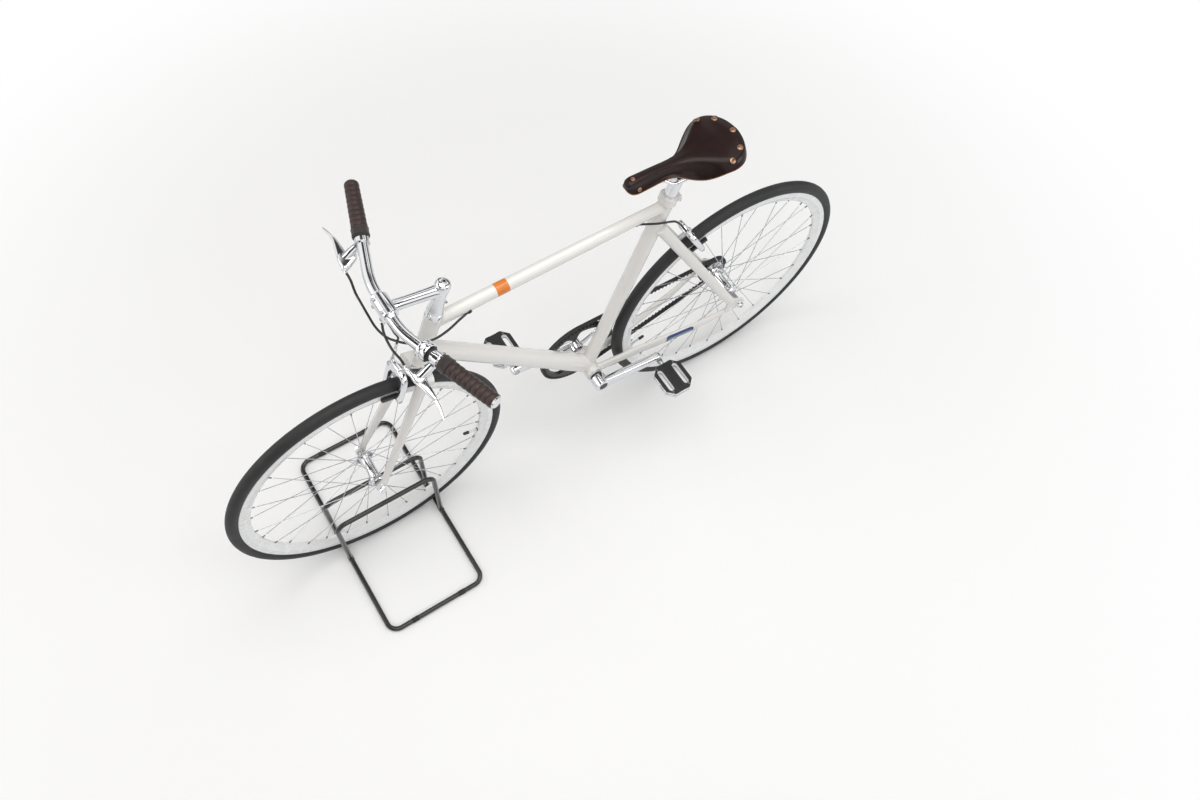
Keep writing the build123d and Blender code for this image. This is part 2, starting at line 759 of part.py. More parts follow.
with BuildPart() as seatpost:
    rod(post_bottom, post_top, seatpost_radius)
    head = Vector(post_top.X - 2, 0, rail_height)
    rod(post_top - along_seat_tube * 4, head - Vector(0, 0, 8), 13.0, 14.0)
    with Locations(Location(head)):
        Box(40, 2 * rail_offset + 4, 15)
    for side in (left, right):
        rod(head + Vector(-40, side * rail_offset, 0), head + Vector(40, side * rail_offset, 0),
            rail_radius + slip_gap, mode=Mode.SUBTRACT)
finish(seatpost, "seatpost")

rail_points = [
    (-172.0, 4.0, 929.0), (-192.0, 6.5, 920.0), (-232.0, 10.5, 914.0),
    (-255.0, rail_offset, rail_height), (-330.0, rail_offset, rail_height),
    (-368.0, 34.0, 909.0), (-392.0, 37.0, 930.0)]

with BuildPart() as saddle_frame:
    for side in (left, right):
        points = [Vector(x, side * y, z) for x, y, z in rail_points]
        with BuildLine() as rail_route:
            FilletPolyline(*points, radius=[16, 20, 24, 30, 30])
        with BuildSketch(Plane(origin=points[0], z_dir=points[1] - points[0])) as rail_section:
            Circle(rail_radius)
        sweep(rail_section.sketch, path=rail_route.line)
    with BuildSketch(Plane(origin=(-396, 0, 930), x_dir=(0, 1, 0), z_dir=(-1, 0, 0))) as cantle:
        RectangleRounded(84, 12, 5)
    extrude(cantle.sketch, amount=5, both=True)
    with Locations(Location((-172, 0, 925.8))):
        Box(10, 14.0, 10)
finish(saddle_frame, "saddle_frame")

saddle_stations = [  # x, half width at the lower edge, top, half width of the crest, lower edge
    (-146.0, 8.5, 940.0, 5.0, 925.0), (-153.0, 15.5, 946.5, 9.5, 921.0),
    (-175.0, 18.5, 950.0, 10.8, 921.0), (-225.0, 20.0, 948.5, 11.5, 925.0),
    (-258.0, 23.0, 946.0, 13.0, 920.0), (-280.0, 30.0, 946.0, 16.0, 910.0),
    (-303.0, 43.0, 947.5, 26.0, 904.0), (-330.0, 62.0, 951.0, 45.0, 917.0),
    (-350.0, 72.0, 953.5, 60.0, 930.0), (-372.0, 75.0, 956.0, 65.0, 934.0),
    (-396.0, 63.0, 956.0, 53.0, 934.0), (-411.0, 43.0, 954.0, 34.0, 935.0),
    (-418.0, 16.0, 950.0, 10.0, 937.0)]
leather = 5.0
crest_drop = 5.0  # from the top of the leather to the shoulder of its crest


def saddle_skin(inset, drop):
    sections = []
    for x, half, top, crest, bottom in saddle_stations:
        wide = half - inset
        crown = max(crest - inset, 1.0)
        shoulder = top - inset - crest_drop
        plane = Plane(origin=(x, 0, 0), x_dir=(0, 1, 0), z_dir=(1, 0, 0))
        with BuildSketch(plane) as section:
            with BuildLine():
                Polyline((-crown, shoulder), (-wide, bottom - drop), (wide, bottom - drop),
                         (crown, shoulder))
                ThreePointArc((crown, shoulder), (0, top - inset), (-crown, shoulder))
            make_face()
        sections.append(section.sketch)
    loft(sections)


with BuildPart() as saddle_hollow:
    saddle_skin(leather, 12.0)
    split(bisect_by=Plane.YZ.offset(-162), keep=Keep.BOTTOM)
    split(bisect_by=Plane.YZ.offset(-408), keep=Keep.TOP)

with BuildPart() as saddle_leather:
    saddle_skin(0.0, 0.0)
    add(saddle_hollow.part, mode=Mode.SUBTRACT)
finish(saddle_leather, "saddle_leather")

# ================================================================ brakes
pad_radius = 306.5  # middle of the pads, from the wheel axle
pad_gap = 2.0
pad_thickness = 8.0
pad_height = 10.0
pad_length = 46.0
arm_offset = 27.7
arm_end_radius = 7.0
arm_thickness = 9.0
bolt_height_front = 361.0
caliper_ahead = 46.0
bridge_radius = 7.0
pad_face = rim_width / 2 + pad_gap
pad_back = pad_face + pad_thickness

front_caliper_plane = Plane(origin=on_steering(bolt_height_front, caliper_ahead),
                            x_dir=(0, 1, 0), z_dir=ahead_of_steering)
rear_caliper_plane = Plane(origin=on_stay(bridge_distance, caliper_behind),
                           x_dir=(0, -1, 0), z_dir=stay_back)


def track_height(plane, axle, ahead=0.0):
    """Height of the rim's brake track in the caliper's plane, measured from the bolt."""
    local = plane.to_local_coords(axle)
    return sqrt(pad_radius ** 2 - (ahead - local.Z) ** 2) + local.Y


def caliper(plane, axle, cable_side, stud_length, barrel_side, barrel_top):
    """Two arms round the tyre, a bolt through the frame, a cable barrel and a cable clamp."""
    low = track_height(plane, axle)
    for side in (left, right):
        hull_plate(plane, [(0, 0, 12.0), (side * arm_offset, -11, 8.0)], arm_thickness)
        hull_plate(plane, [(side * arm_offset, -11, 8.0), (side * arm_offset, low, arm_end_radius)],
                   arm_thickness)
        seat = plane.from_local_coords((side * pad_back, low, 0))
        end = plane.from_local_coords((side * (arm_offset + 8.5), low, 0))
        rod(seat, end, 5.2)
    rod(plane.from_local_coords((0, 0, -stud_length)), plane.from_local_coords((0, 0, 9)), 6.0)
    hull_plate(plane, [(0, 2, 11.0), (cable_side * barrel_side, 20, 6.5)], arm_thickness)
    hull_plate(plane, [(cable_side * arm_offset, -8, 8.0), (cable_side * (arm_offset + 9), -2, 6.0)],
               arm_thickness)
    rod(plane.from_local_coords((cable_side * barrel_side, 14, 0)),
        plane.from_local_coords((cable_side * barrel_side, barrel_top, 0)), 4.0)


def pads(plane, axle, ahead):
    low = track_height(plane, axle, ahead)
    for side in (left, right):
        centre = plane.from_local_coords((side * (pad_face + pad_thickness / 2), low, ahead))
        beside = axle + Vector(0, centre.Y, 0)
        radial = (centre - beside).normalized()
        pad_plane = Plane(origin=centre, x_dir=(0, 1, 0), z_dir=Vector(0, 1, 0).cross(radial))
        with Locations(pad_plane):
            Box(pad_thickness, pad_height, pad_length)


crown_front = crown_half_depth
front_barrel_side = 28.0
front_barrel_top = 54.0

with BuildPart() as front_brake_caliper:
    caliper(front_caliper_plane, front_axle, right, caliper_ahead - crown_front,
            front_barrel_side, front_barrel_top)
finish(front_brake_caliper, "front_brake_caliper")

with BuildPart() as front_brake_pads:
    pads(front_caliper_plane, front_axle, 12.0)
finish(front_brake_pads, "front_brake_pads")

with BuildPart() as rear_brake_caliper:
    caliper(rear_caliper_plane, rear_axle, right, caliper_behind, rear_barrel_side,
            rear_barrel_top)
    rod(on_stay(bridge_distance, 0, -33), on_stay(bridge_distance, 0, 33), bridge_radius,
        mode=Mode.SUBTRACT)
finish(rear_brake_caliper, "rear_brake_caliper")

with BuildPart() as rear_brake_pads:
    pads(rear_caliper_plane, rear_axle, 0.0)
finish(rear_brake_pads, "rear_brake_pads")

# ================================================================ cables at the handlebar


def barrel_point(plane, side, height):
    return plane.from_local_coords((right * side, height, 0))


front_cable_points = [
    Vector(399.0, 126.0, 900.0), Vector(399.0, 100.0, 900.0), Vector(402.0, 74.0, 898.5),
    Vector(401.0, 46.0, 900.5), Vector(396.0, 24.0, 902.0), Vector(387.0, 8.0, 893.0),
    Vector(377.5, -3.0, 867.0), Vector(370.0, -13.0, 829.0), Vector(364.0, -23.0, 790.0),
    barrel_point(front_caliper_plane, front_barrel_side, front_barrel_top + 26),
    barrel_point(front_caliper_plane, front_barrel_side, front_barrel_top)]

loop_cable_points = [
    Vector(399.0, -126.0, 900.0), Vector(399.0, -101.0, 900.0), Vector(400.5, -84.0, 878.0),
    Vector(396.0, -82.0, 842.0), Vector(391.5, -74.0, 806.0), Vector(388.0, -56.0, 784.0),
    Vector(381.0, -30.0, 780.5), Vector(370.0, -6.0, 789.0), Vector(355.0, 16.0, 798.0),
    Vector(334.0, 31.0, 803.5), Vector(306.0, 36.0, 801.0), Vector(274.0, 30.0, 797.5),
    Vector(244.0, 20.6, 797.5), cable_entry]

rear_cable_points = cable_exit + [
    Vector(-248.0, 20.5, 779.5), Vector(-265.0, 16.0, 766.0), Vector(-285.0, 12.5, 750.0),
    Vector(-301.0, 13.0, 730.0),
    barrel_point(rear_caliper_plane, rear_barrel_side, rear_barrel_top + 22),
    barrel_point(rear_caliper_plane, rear_barrel_side, rear_barrel_top)]

for name, points in (("front_brake_cable", front_cable_points),
                     ("rear_brake_cable_loop", loop_cable_points),
                     ("rear_brake_cable", rear_cable_points)):
    with BuildPart() as cable_part:
        length = bent_tube(name, points, cable_radius)
    print(name, "length", round(length), "volume share",
          round(cable_part.part.volume / (pi * cable_radius ** 2 * length), 3))
    finish(cable_part, name)

# ================================================================ belt drive
belt_inner_gap = 0.5
belt_thickness = 4.5
tooth_depth = 2.5  # the sprockets' rims lie this far inside the pitch line
front_rim_radius = front_pitch_radius - tooth_depth
rear_rim_radius = rear_pitch_radius - tooth_depth
spider_thickness = 6.0
bolt_circle = 65.0
right_arm_inner = sprocket_outer + spider_thickness
right_arm_outer = 72.0
left_arm_outer = crank_inner_face + crank_thickness
right_crank_end = bracket + Vector(crank_length * cos(radians(crank_angle)), 0,
                                   crank_length * sin(radians(crank_angle)))
left_crank_end = bracket * 2 - right_crank_end
belt_plane = side_plane((0, 0, 0), -belt_offset)

with BuildPart() as drive_belt:
    for extra, mode in ((belt_inner_gap + belt_thickness, Mode.ADD),
                        (belt_inner_gap, Mode.SUBTRACT)):
        hull_plate(belt_plane,
                   [(bracket.X, bracket.Z, front_rim_radius + extra),
                    (rear_axle.X, rear_axle.Z, rear_rim_radius + extra)],
                   belt_width, mode=mode)
finish(drive_belt, "drive_belt")

with BuildPart() as front_sprocket:
    ring_plane = side_plane(bracket, -belt_offset)
    with BuildSketch(ring_plane) as ring:
        Circle(front_rim_radius)
        Circle(front_rim_radius - 15, mode=Mode.SUBTRACT)
        for n in range(5):
            angle = radians(crank_angle + n * 72)
            with Locations(((bolt_circle + 12) * cos(angle), (bolt_circle + 12) * sin(angle))):
                Circle(15)
        for n in range(5):
            angle = radians(crank_angle + n * 72)
            with Locations((bolt_circle * cos(angle), bolt_circle * sin(angle))):
                Circle(8)
        Circle(bolt_circle - 8, mode=Mode.SUBTRACT)
    extrude(ring.sketch, amount=sprocket_width / 2, both=True)
finish(front_sprocket, "front_sprocket")

with BuildPart() as rear_sprocket:
    with BuildSketch(side_plane(rear_axle, -belt_offset)) as ring:
        Circle(rear_rim_radius)
        Circle(freewheel_radius + running_gap, mode=Mode.SUBTRACT)
    extrude(ring.sketch, amount=sprocket_width / 2, both=True)
finish(rear_sprocket, "rear_sprocket")


# ================================================================ cranks and pedals
pedal_inner = pedal_centre - pedal_width / 2
pedal_outer = pedal_centre + pedal_width / 2
pin_radius = 5.0


def crank_arm(end, side, inner, outer):
    """One crank arm from the bottom bracket to its pedal, with the pedal's spindle."""
    reach = end - bracket
    hull_plate(side_plane(bracket, side * (inner + outer) / 2),
               [(0, 0, 16.0), (reach.X, reach.Z, 12.0)], outer - inner)
    rod(bracket + Vector(0, side * 44, 0), bracket + Vector(0, side * outer, 0), 18.0)
    rod(end + Vector(0, side * outer, 0), end + Vector(0, side * (pedal_inner - seat_gap), 0), 7.5)
    rod(end + Vector(0, side * outer, 0), end + Vector(0, side * (pedal_outer - 5), 0), pin_radius)


with BuildPart() as left_crank:
    crank_arm(left_crank_end, left, crank_inner_face, left_arm_outer)
    rod(bracket + Vector(0, 50, 0), bracket - Vector(0, right_arm_outer - 2, 0), spindle_radius)
finish(left_crank, "left_crank")

with BuildPart() as right_crank:
    crank_arm(right_crank_end, right, right_arm_inner, right_arm_outer)
    spider_plane = side_plane(bracket, -(sprocket_outer + spider_thickness / 2))
    for n in range(5):
        angle = radians(crank_angle + n * 72)
        hull_plate(spider_plane,
                   [(0, 0, 16.0), (bolt_circle * cos(angle), bolt_circle * sin(angle), 8.0)],
                   spider_thickness)
    rod(bracket - Vector(0, 40, 0), bracket - Vector(0, right_arm_outer - 2, 0),
        spindle_radius + slip_gap, mode=Mode.SUBTRACT)
finish(right_crank, "right_crank")


def pedal(end, side):
    """A flat pedal: an eight-sided body with two long slots, on the crank's spindle."""
    centre = end + Vector(0, side * pedal_centre, 0)
    with BuildSketch(Plane(origin=centre)) as body:
        Rectangle(pedal_length, pedal_width)
        chamfer(body.vertices(), pedal_corner)
        with Locations((-pedal_slot_offset, 0), (pedal_slot_offset, 0)):
            SlotOverall(pedal_width - 2 * pedal_slot_margin, pedal_slot_width, rotation=90,
                        mode=Mode.SUBTRACT)
    extrude(body.sketch, amount=pedal_height / 2, both=True)
    rod(end + Vector(0, side * (pedal_inner - 5), 0), end + Vector(0, side * (pedal_outer - 3), 0),
        pin_radius + running_gap, mode=Mode.SUBTRACT)


for name, end, side in (("left_pedal", left_crank_end, left),
                        ("right_pedal", right_crank_end, right)):
    with BuildPart() as pedal_part:
        pedal(end, side)
    finish(pedal_part, name)

# ================================================================ floor stand
stand_back = stand_centre_x - stand_length / 2
stand_front = stand_centre_x + stand_length / 2

with BuildPart() as stand_floor_frame:
    for side in (left, right):
        reach = side * stand_width / 2
        with BuildLine() as floor_route:
            FilletPolyline(Vector(stand_back, 0, stand_tube_radius),
                           Vector(stand_back, reach, stand_tube_radius),
                           Vector(stand_front, reach, stand_tube_radius),
                           Vector(stand_front, 0, stand_tube_radius),
                           radius=stand_corner_radius)
        with BuildSketch(Plane(origin=(stand_back, 0, stand_tube_radius),
                               z_dir=(0, side, 0))) as section:
            Circle(stand_tube_radius)
        sweep(section.sketch, path=floor_route.line)
finish(stand_floor_frame, "stand_floor_frame")

with BuildPart() as stand_hoops:
    for side in (left, right):
        foot_y = side * stand_foot_spread / 2
        top_y = side * stand_top_spread / 2
        with BuildLine() as hoop_route:
            FilletPolyline(Vector(stand_back, foot_y, stand_tube_radius),
                           Vector(stand_back, top_y, stand_height),
                           Vector(stand_front, top_y, stand_height),
                           Vector(stand_front, foot_y, stand_tube_radius),
                           radius=stand_corner_radius)
        lean = Vector(0, top_y - foot_y, stand_height - stand_tube_radius)
        with BuildSketch(Plane(origin=(stand_back, foot_y, stand_tube_radius),
                               z_dir=lean)) as section:
            Circle(stand_tube_radius)
        sweep(section.sketch, path=hoop_route.line)
    for x in (stand_back, stand_front):
        rod(Vector(x, -60, stand_tube_radius), Vector(x, 60, stand_tube_radius),
            stand_tube_radius, mode=Mode.SUBTRACT)
finish(stand_hoops, "stand_hoops")
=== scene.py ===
"""A city bicycle with a belt drive in a wire floor stand: its looks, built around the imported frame.

Sizes are in millimetres until a piece is made. +X is forward, +Y the rider's left, +Z up.
"""

import json
from math import acos, atan2, cos, pi, radians, sin, sqrt, tan

import bmesh
import bpy
from bpy.props import FloatProperty, FloatVectorProperty, PointerProperty
from mathutils import Matrix, Vector

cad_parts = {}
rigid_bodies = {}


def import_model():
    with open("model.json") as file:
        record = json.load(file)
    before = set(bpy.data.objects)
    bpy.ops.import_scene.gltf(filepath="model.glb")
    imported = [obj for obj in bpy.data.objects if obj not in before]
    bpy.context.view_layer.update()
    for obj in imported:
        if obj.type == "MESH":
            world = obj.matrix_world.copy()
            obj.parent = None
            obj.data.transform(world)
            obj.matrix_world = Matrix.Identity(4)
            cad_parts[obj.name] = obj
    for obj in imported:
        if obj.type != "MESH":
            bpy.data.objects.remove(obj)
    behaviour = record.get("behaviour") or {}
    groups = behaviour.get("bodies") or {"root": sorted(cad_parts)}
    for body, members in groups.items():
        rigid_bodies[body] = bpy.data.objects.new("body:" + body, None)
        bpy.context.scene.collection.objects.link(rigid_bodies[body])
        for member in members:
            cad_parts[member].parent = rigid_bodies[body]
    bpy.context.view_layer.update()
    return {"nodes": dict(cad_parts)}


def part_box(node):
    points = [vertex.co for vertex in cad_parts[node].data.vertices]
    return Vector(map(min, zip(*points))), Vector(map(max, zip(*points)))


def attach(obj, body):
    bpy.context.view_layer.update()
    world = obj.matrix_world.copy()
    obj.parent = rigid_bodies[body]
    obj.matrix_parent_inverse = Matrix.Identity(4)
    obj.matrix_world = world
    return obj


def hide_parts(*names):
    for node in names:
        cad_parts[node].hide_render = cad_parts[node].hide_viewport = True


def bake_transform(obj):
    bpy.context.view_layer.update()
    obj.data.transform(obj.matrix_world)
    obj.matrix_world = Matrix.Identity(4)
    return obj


bl_info = {
    "name": "City bicycle in a floor stand",
    "version": (1, 0, 0),
    "blender": (4, 5, 0),
    "location": "3D View > Sidebar > Bicycle",
    "description": "Builds the finished pieces of a belt-driven city bicycle around its frame",
    "category": "Add Mesh",
}

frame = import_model()

MILLIMETRE = 0.001
LEFT = 1
RIGHT = -1
SIDES = (LEFT, RIGHT)
UP = Vector((0, 0, 1))
FORWARD = Vector((1, 0, 0))
SIDE = Vector((0, 1, 0))
POLE = 0.01  # the radius that stands for a point on an axis


# ---------------------------------------------------------------- places read from the frame
def low(node):
    return Vector(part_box(node)[0]) / MILLIMETRE


def high(node):
    return Vector(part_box(node)[1]) / MILLIMETRE


def middle(node):
    return (low(node) + high(node)) / 2


FRONT_AXLE = middle("front_tyre")
REAR_AXLE = middle("rear_tyre")
BRACKET = middle("bottom_bracket_shell")
TYRE_RADIUS = high("front_tyre").z - FRONT_AXLE.z
HEAD_ANGLE = radians(71.0)
ALONG_HEAD = Vector((-cos(HEAD_ANGLE), 0, sin(HEAD_ANGLE)))
AHEAD = Vector((sin(HEAD_ANGLE), 0, cos(HEAD_ANGLE)))
FORK_RAKE = 44.2
HEAD_FOOT = FRONT_AXLE - AHEAD * FORK_RAKE
SEAT_LOW = Vector((-86.0, 0, 285.0))
SEAT_HIGH = Vector((-264.5, 0, 830.0))
ALONG_SEAT = (SEAT_HIGH - SEAT_LOW).normalized()
STAY_DIRECTION = Vector((0.5, 0, 0.866)).normalized()
STAY_OFFSET = -13.0
STAY_BACK = Vector((-STAY_DIRECTION.z, 0, STAY_DIRECTION.x))
NIPPLE_RADIUS = 284.6
SPOKES_PER_FLANGE = 16
HOLE_STEP = 360 / SPOKES_PER_FLANGE
FRONT_HOLES, FRONT_FLANGES = 17.5, (33.0, -33.0)  # the holes' circle; left and right flange
REAR_HOLES, REAR_FLANGES = 20.5, (32.0, -27.0)
HEAD_RADIUS = 18.0
SEAT_RADIUS = 17.0
SHELL_RADIUS = 21.0
TOP_REAR = Vector((-256.9, 0, 809.9))
TOP_FRONT = Vector((293.0, 0, 801.2))
ALONG_TOP = (TOP_FRONT - TOP_REAR).normalized()


def on_head(up, ahead=0.0, side=0.0):
    """A point along, ahead of and beside the steering axis."""
    return HEAD_FOOT + ALONG_HEAD * up + AHEAD * ahead + SIDE * side


def on_stay(distance, back):
    """A point along and behind the line of the seatstays."""
    return REAR_AXLE + STAY_DIRECTION * distance + STAY_BACK * (STAY_OFFSET + back)


BAR_POINT = Vector((376.0, 0, 922.0))
BAR_TILT = radians(8.0)
BAR_SWEEP = radians(18.5)
BAR_STRAIGHT = 60.0
BAR_END = 277.0
BAR_BACK = Vector((-cos(BAR_TILT), 0, sin(BAR_TILT)))


def on_bar(side):
    """The handlebar's centre line; the sign of the distance picks the side."""
    back = max(0.0, abs(side) - BAR_STRAIGHT) * tan(BAR_SWEEP)
    return BAR_POINT + SIDE * side + BAR_BACK * back


def bar_outward(side):
    return (on_bar(side * BAR_END) - on_bar(side * BAR_STRAIGHT)).normalized()


# ---------------------------------------------------------------- shape building
def square_to(direction, hint=UP):
    """Two unit vectors square to a direction and to each other; the second is nearest the hint."""
    direction = direction.normalized()
    if abs(direction.dot(hint)) > 0.98:
        hint = FORWARD if abs(direction.x) < 0.9 else SIDE
    across = hint.cross(direction).normalized()
    return across, direction.cross(across).normalized()


def round_side(turn):
    """The direction at an angle round the Y axis, from +X towards +Z."""
    return Vector((cos(turn), 0, sin(turn)))


def turns(count):
    """Evenly spaced angles round a full turn."""
    return [2 * pi * n / count for n in range(count)]


def signed_power(value, power):
    return abs(value) ** power * (1 if value >= 0 else -1)


def mirrored(half):
    """A profile from its outer end to the middle, and its mirror image."""
    return [(-along, radius) for along, radius in half] + half[::-1]


def four_corners(x, y, radius):
    """Equal discs at the corners of a rectangle."""
    return [(sx * x, sy * y, radius) for sx in SIDES for sy in SIDES]


def hull_outline(discs, corner=10):
    """The taut outline round discs (x, y, radius), as points in order."""
    points = sorted({(round(x + r * cos(turn), 5), round(y + r * sin(turn), 5))
                     for x, y, r in discs for turn in turns(max(12, corner * 4))})

    def half(ordered):
        chain = []
        for p in ordered:
            while len(chain) > 1:
                (ax, ay), (bx, by) = chain[-2], chain[-1]
                if (bx - ax) * (p[1] - ay) - (by - ay) * (p[0] - ax) > 1e-9:
                    break
                chain.pop()
            chain.append(p)
        return chain[:-1]

    return half(points) + half(points[::-1])


def inset(outline, distance):
    """The same outline moved inwards by a distance at every point."""
    moved = []
    count = len(outline)
    for n, (x, y) in enumerate(outline):
        ax, ay = outline[n - 1]
        bx, by = outline[(n + 1) % count]
        dx, dy = bx - ax, by - ay
        size = sqrt(dx * dx + dy * dy) or 1.0
        moved.append((x - distance * dy / size, y + distance * dx / size))
    return moved


def smooth_step(a, b, c, d, t):
    """A place on the smooth line from b to c, whose neighbours are a and d."""
    return 0.5 * (2 * b + (c - a) * t + (2 * a - 5 * b + 4 * c - d) * t * t
                  + (3 * b - 3 * c + d - a) * t ** 3)


def smooth_path(points, steps):
    """A rounded line through points, with the first and last kept."""
    points = [Vector(p) for p in points]
    ends = [points[0] * 2 - points[1]] + points + [points[-1] * 2 - points[-2]]
    return [smooth_step(*four, n / steps) for four in zip(ends, ends[1:], ends[2:], ends[3:])
            for n in range(steps)] + points[-1:]


def spread(values, count):
    """Values taken evenly from a short list, with straight steps between them."""
    out = []
    for n in range(count):
        place = (len(values) - 1) * n / (count - 1)
        first = min(int(place), len(values) - 2)
        part = place - first
        a, b = values[first], values[first + 1]
        if isinstance(a, (tuple, list)):
            out.append(tuple(p + (q - p) * part for p, q in zip(a, b)))
        else:
            out.append(a + (b - a) * part)
    return out


def link_new(name, data):
    """A new object in the scene."""
    item = bpy.data.objects.new(name, data)
    bpy.context.scene.collection.objects.link(item)
    return item


class Piece:
    """Collects the faces of one piece, each with its finish, and makes its object."""

    def __init__(self, name):
        self.name = name
        self.points = []
        self.faces = []
        self.indices = []
        self.finishes = []

    def _finish(self, finish):
        if finish not in self.finishes:
            self.finishes.append(finish)
        return self.finishes.index(finish)

    def face(self, corners, index):
        self.faces.append(corners)
        self.indices.append(index)

    def rings(self, rings, finish, closed=True, loop=False, caps=True):
        """Faces between rings of equally many points; loop joins the last ring to the first."""
        index = self._finish(finish)
        start = len(self.points)
        size = len(rings[0])
        for ring in rings:
            self.points.extend(ring)
        pairs = len(rings) if loop else len(rings) - 1
        spans = size if closed else size - 1
        for n in range(pairs):
            a = start + n * size
            b = start + ((n + 1) % len(rings)) * size
            for k in range(spans):
                j = (k + 1) % size
                self.face((a + k, a + j, b + j, b + k), index)
        if caps and closed and not loop:
            self.face(tuple(range(start, start + size))[::-1], index)
            last = start + (len(rings) - 1) * size
            self.face(tuple(range(last, last + size)), index)

    def turned(self, origin, axis, profile, finish, segments=48, loop=False, begin=0.0, arc=2 * pi):
        """A solid of revolution; the profile is (along, radius) points, and loop closes it."""
        origin = Vector(origin)
        axis = Vector(axis).normalized()
        across, along = square_to(axis)
        full = arc > 2 * pi - 1e-6
        count = segments if full else segments + 1
        rings = []
        for n in range(count):
            turn = begin + arc * n / segments
            out = across * cos(turn) + along * sin(turn)
            rings.append([origin + axis * a + out * r for a, r in profile])
        self.rings(rings, finish, closed=loop, loop=full, caps=loop and not full)

    def capped(self, origin, axis, profile, finish, segments):
        """A solid of revolution with flat ends, such as a bolt head or a shaft."""
        first, last = profile[0], profile[-1]
        self.turned(origin, axis, [(first[0], POLE)] + list(profile) + [(last[0], POLE)],
                    finish, segments)

    def tube(self, points, radii, finish, sides, hint=UP, caps=True, square=1.0):
        """A tube along points; a radius may be a number or (across, upward) half sizes.

        Under 1, square gives the section flat sides with rounded corners.
        """
        points = [Vector(p) for p in points]
        count = len(points)
        if not isinstance(radii, list):
            radii = [radii] * count
        elif len(radii) != count:
            radii = spread(radii, count)
        rings = []
        across = None
        for n, (point, size) in enumerate(zip(points, radii)):
            direction = (points[min(n + 1, count - 1)] - points[max(n - 1, 0)]).normalized()
            if across is None:
                across, upward = square_to(direction, hint)
            else:
                across = (across - direction * across.dot(direction)).normalized()
                upward = direction.cross(across)
            wide, tall = size if isinstance(size, (tuple, list)) else (size, size)
            rings.append([point + across * (wide * signed_power(cos(turn), square))
                          + upward * (tall * signed_power(sin(turn), square))
                          for turn in turns(sides)])
        self.rings(rings, finish, caps=caps)

    def plate(self, origin, x_dir, y_dir, outline, thickness, finish, bevel):
        """A flat plate with rounded edges, from an outline in the plane of x_dir and y_dir."""
        origin = Vector(origin)
        x_dir = Vector(x_dir).normalized()
        y_dir = Vector(y_dir).normalized()
        normal = x_dir.cross(y_dir)
        steps = 4
        lower = []
        for n in range(steps, -1, -1):
            turn = pi / 2 * n / steps
            lower.append((-thickness / 2 + bevel * (1 - sin(turn)), bevel * (1 - cos(turn))))
        upper = [(-height, inward) for height, inward in lower[::-1]]
        self.rings([[origin + x_dir * x + y_dir * y + normal * height
                     for x, y in inset(outline, inward)] for height, inward in lower + upper],
                   finish)

    def band(self, origin, x_dir, y_dir, outer, inner, height, finish):
        """An upright band between two outlines of equally many points."""
        bevel = 0.3
        normal = Vector(x_dir).cross(Vector(y_dir))
        half = height / 2
        rings = []
        for outline, inward, level in (
                (outer, 0, -half + bevel), (outer, 0, half - bevel), (outer, bevel, half),
                (inner, -bevel, half), (inner, 0, half - bevel), (inner, 0, -half + bevel),
                (inner, -bevel, -half), (outer, bevel, -half)):
            rings.append([Vector(origin) + Vector(x_dir) * x + Vector(y_dir) * y + normal * level
                          for x, y in inset(outline, inward)])
        self.rings(rings, finish, loop=True)

    def holed_plate(self, origin, x_dir, y_dir, outline, hole, hub, thickness, finish):
        """A plate with one hole; both outlines are met by rays from a point inside the hole."""

        def reach(shape, turn):
            dx, dy = cos(turn), sin(turn)
            best = 0.0
            for (ax, ay), (bx, by) in zip(shape, shape[1:] + shape[:1]):
                ex, ey = bx - ax, by - ay
                cross = dx * ey - dy * ex
                if abs(cross) > 1e-9:
                    t = ((ax - hub[0]) * ey - (ay - hub[1]) * ex) / cross
                    s = ((ax - hub[0]) * dy - (ay - hub[1]) * dx) / cross
                    if t > 0 and -1e-6 <= s <= 1 + 1e-6:
                        best = max(best, t)
            return hub[0] + dx * best, hub[1] + dy * best

        angles = sorted(set(turns(72))
                        | {atan2(y - hub[1], x - hub[0]) % (2 * pi) for x, y in outline})
        self.band(origin, x_dir, y_dir, [reach(outline, t) for t in angles],
                  [reach(hole, t) for t in angles], thickness, finish)

    def box(self, origin, x_dir, y_dir, size, finish, bevel=0.8):
        wide, tall, thick = size
        outline = hull_outline(four_corners(wide / 2 - bevel, tall / 2 - bevel, bevel), 4)
        self.plate(origin, x_dir, y_dir, outline, thick, finish, bevel * 0.7)

    def ball(self, centre, radius, finish, segments, axis=UP, squash=1.0):
        profile = [(radius * squash * -cos(pi * n / 10), max(POLE, radius * sin(pi * n / 10)))
                   for n in range(11)]
        self.turned(centre, axis, profile, finish, segments)

    def socket_bolt(self, seat, axis, radius, height, finish):
        """A cap screw with a hexagon socket, its recess painted near-black as painted shade."""
        axis = Vector(axis).normalized()
        hole = radius * 0.52
        self.turned(seat, axis, [(0, POLE), (0, radius), (height * 0.75, radius),
                                 (height * 0.93, radius * 0.93), (height, radius * 0.8),
                                 (height, hole)], finish, 24)
        self.turned(seat, axis, [(height, hole), (height * 0.35, hole), (height * 0.35, POLE)],
                    "painted_shade_black", 6)

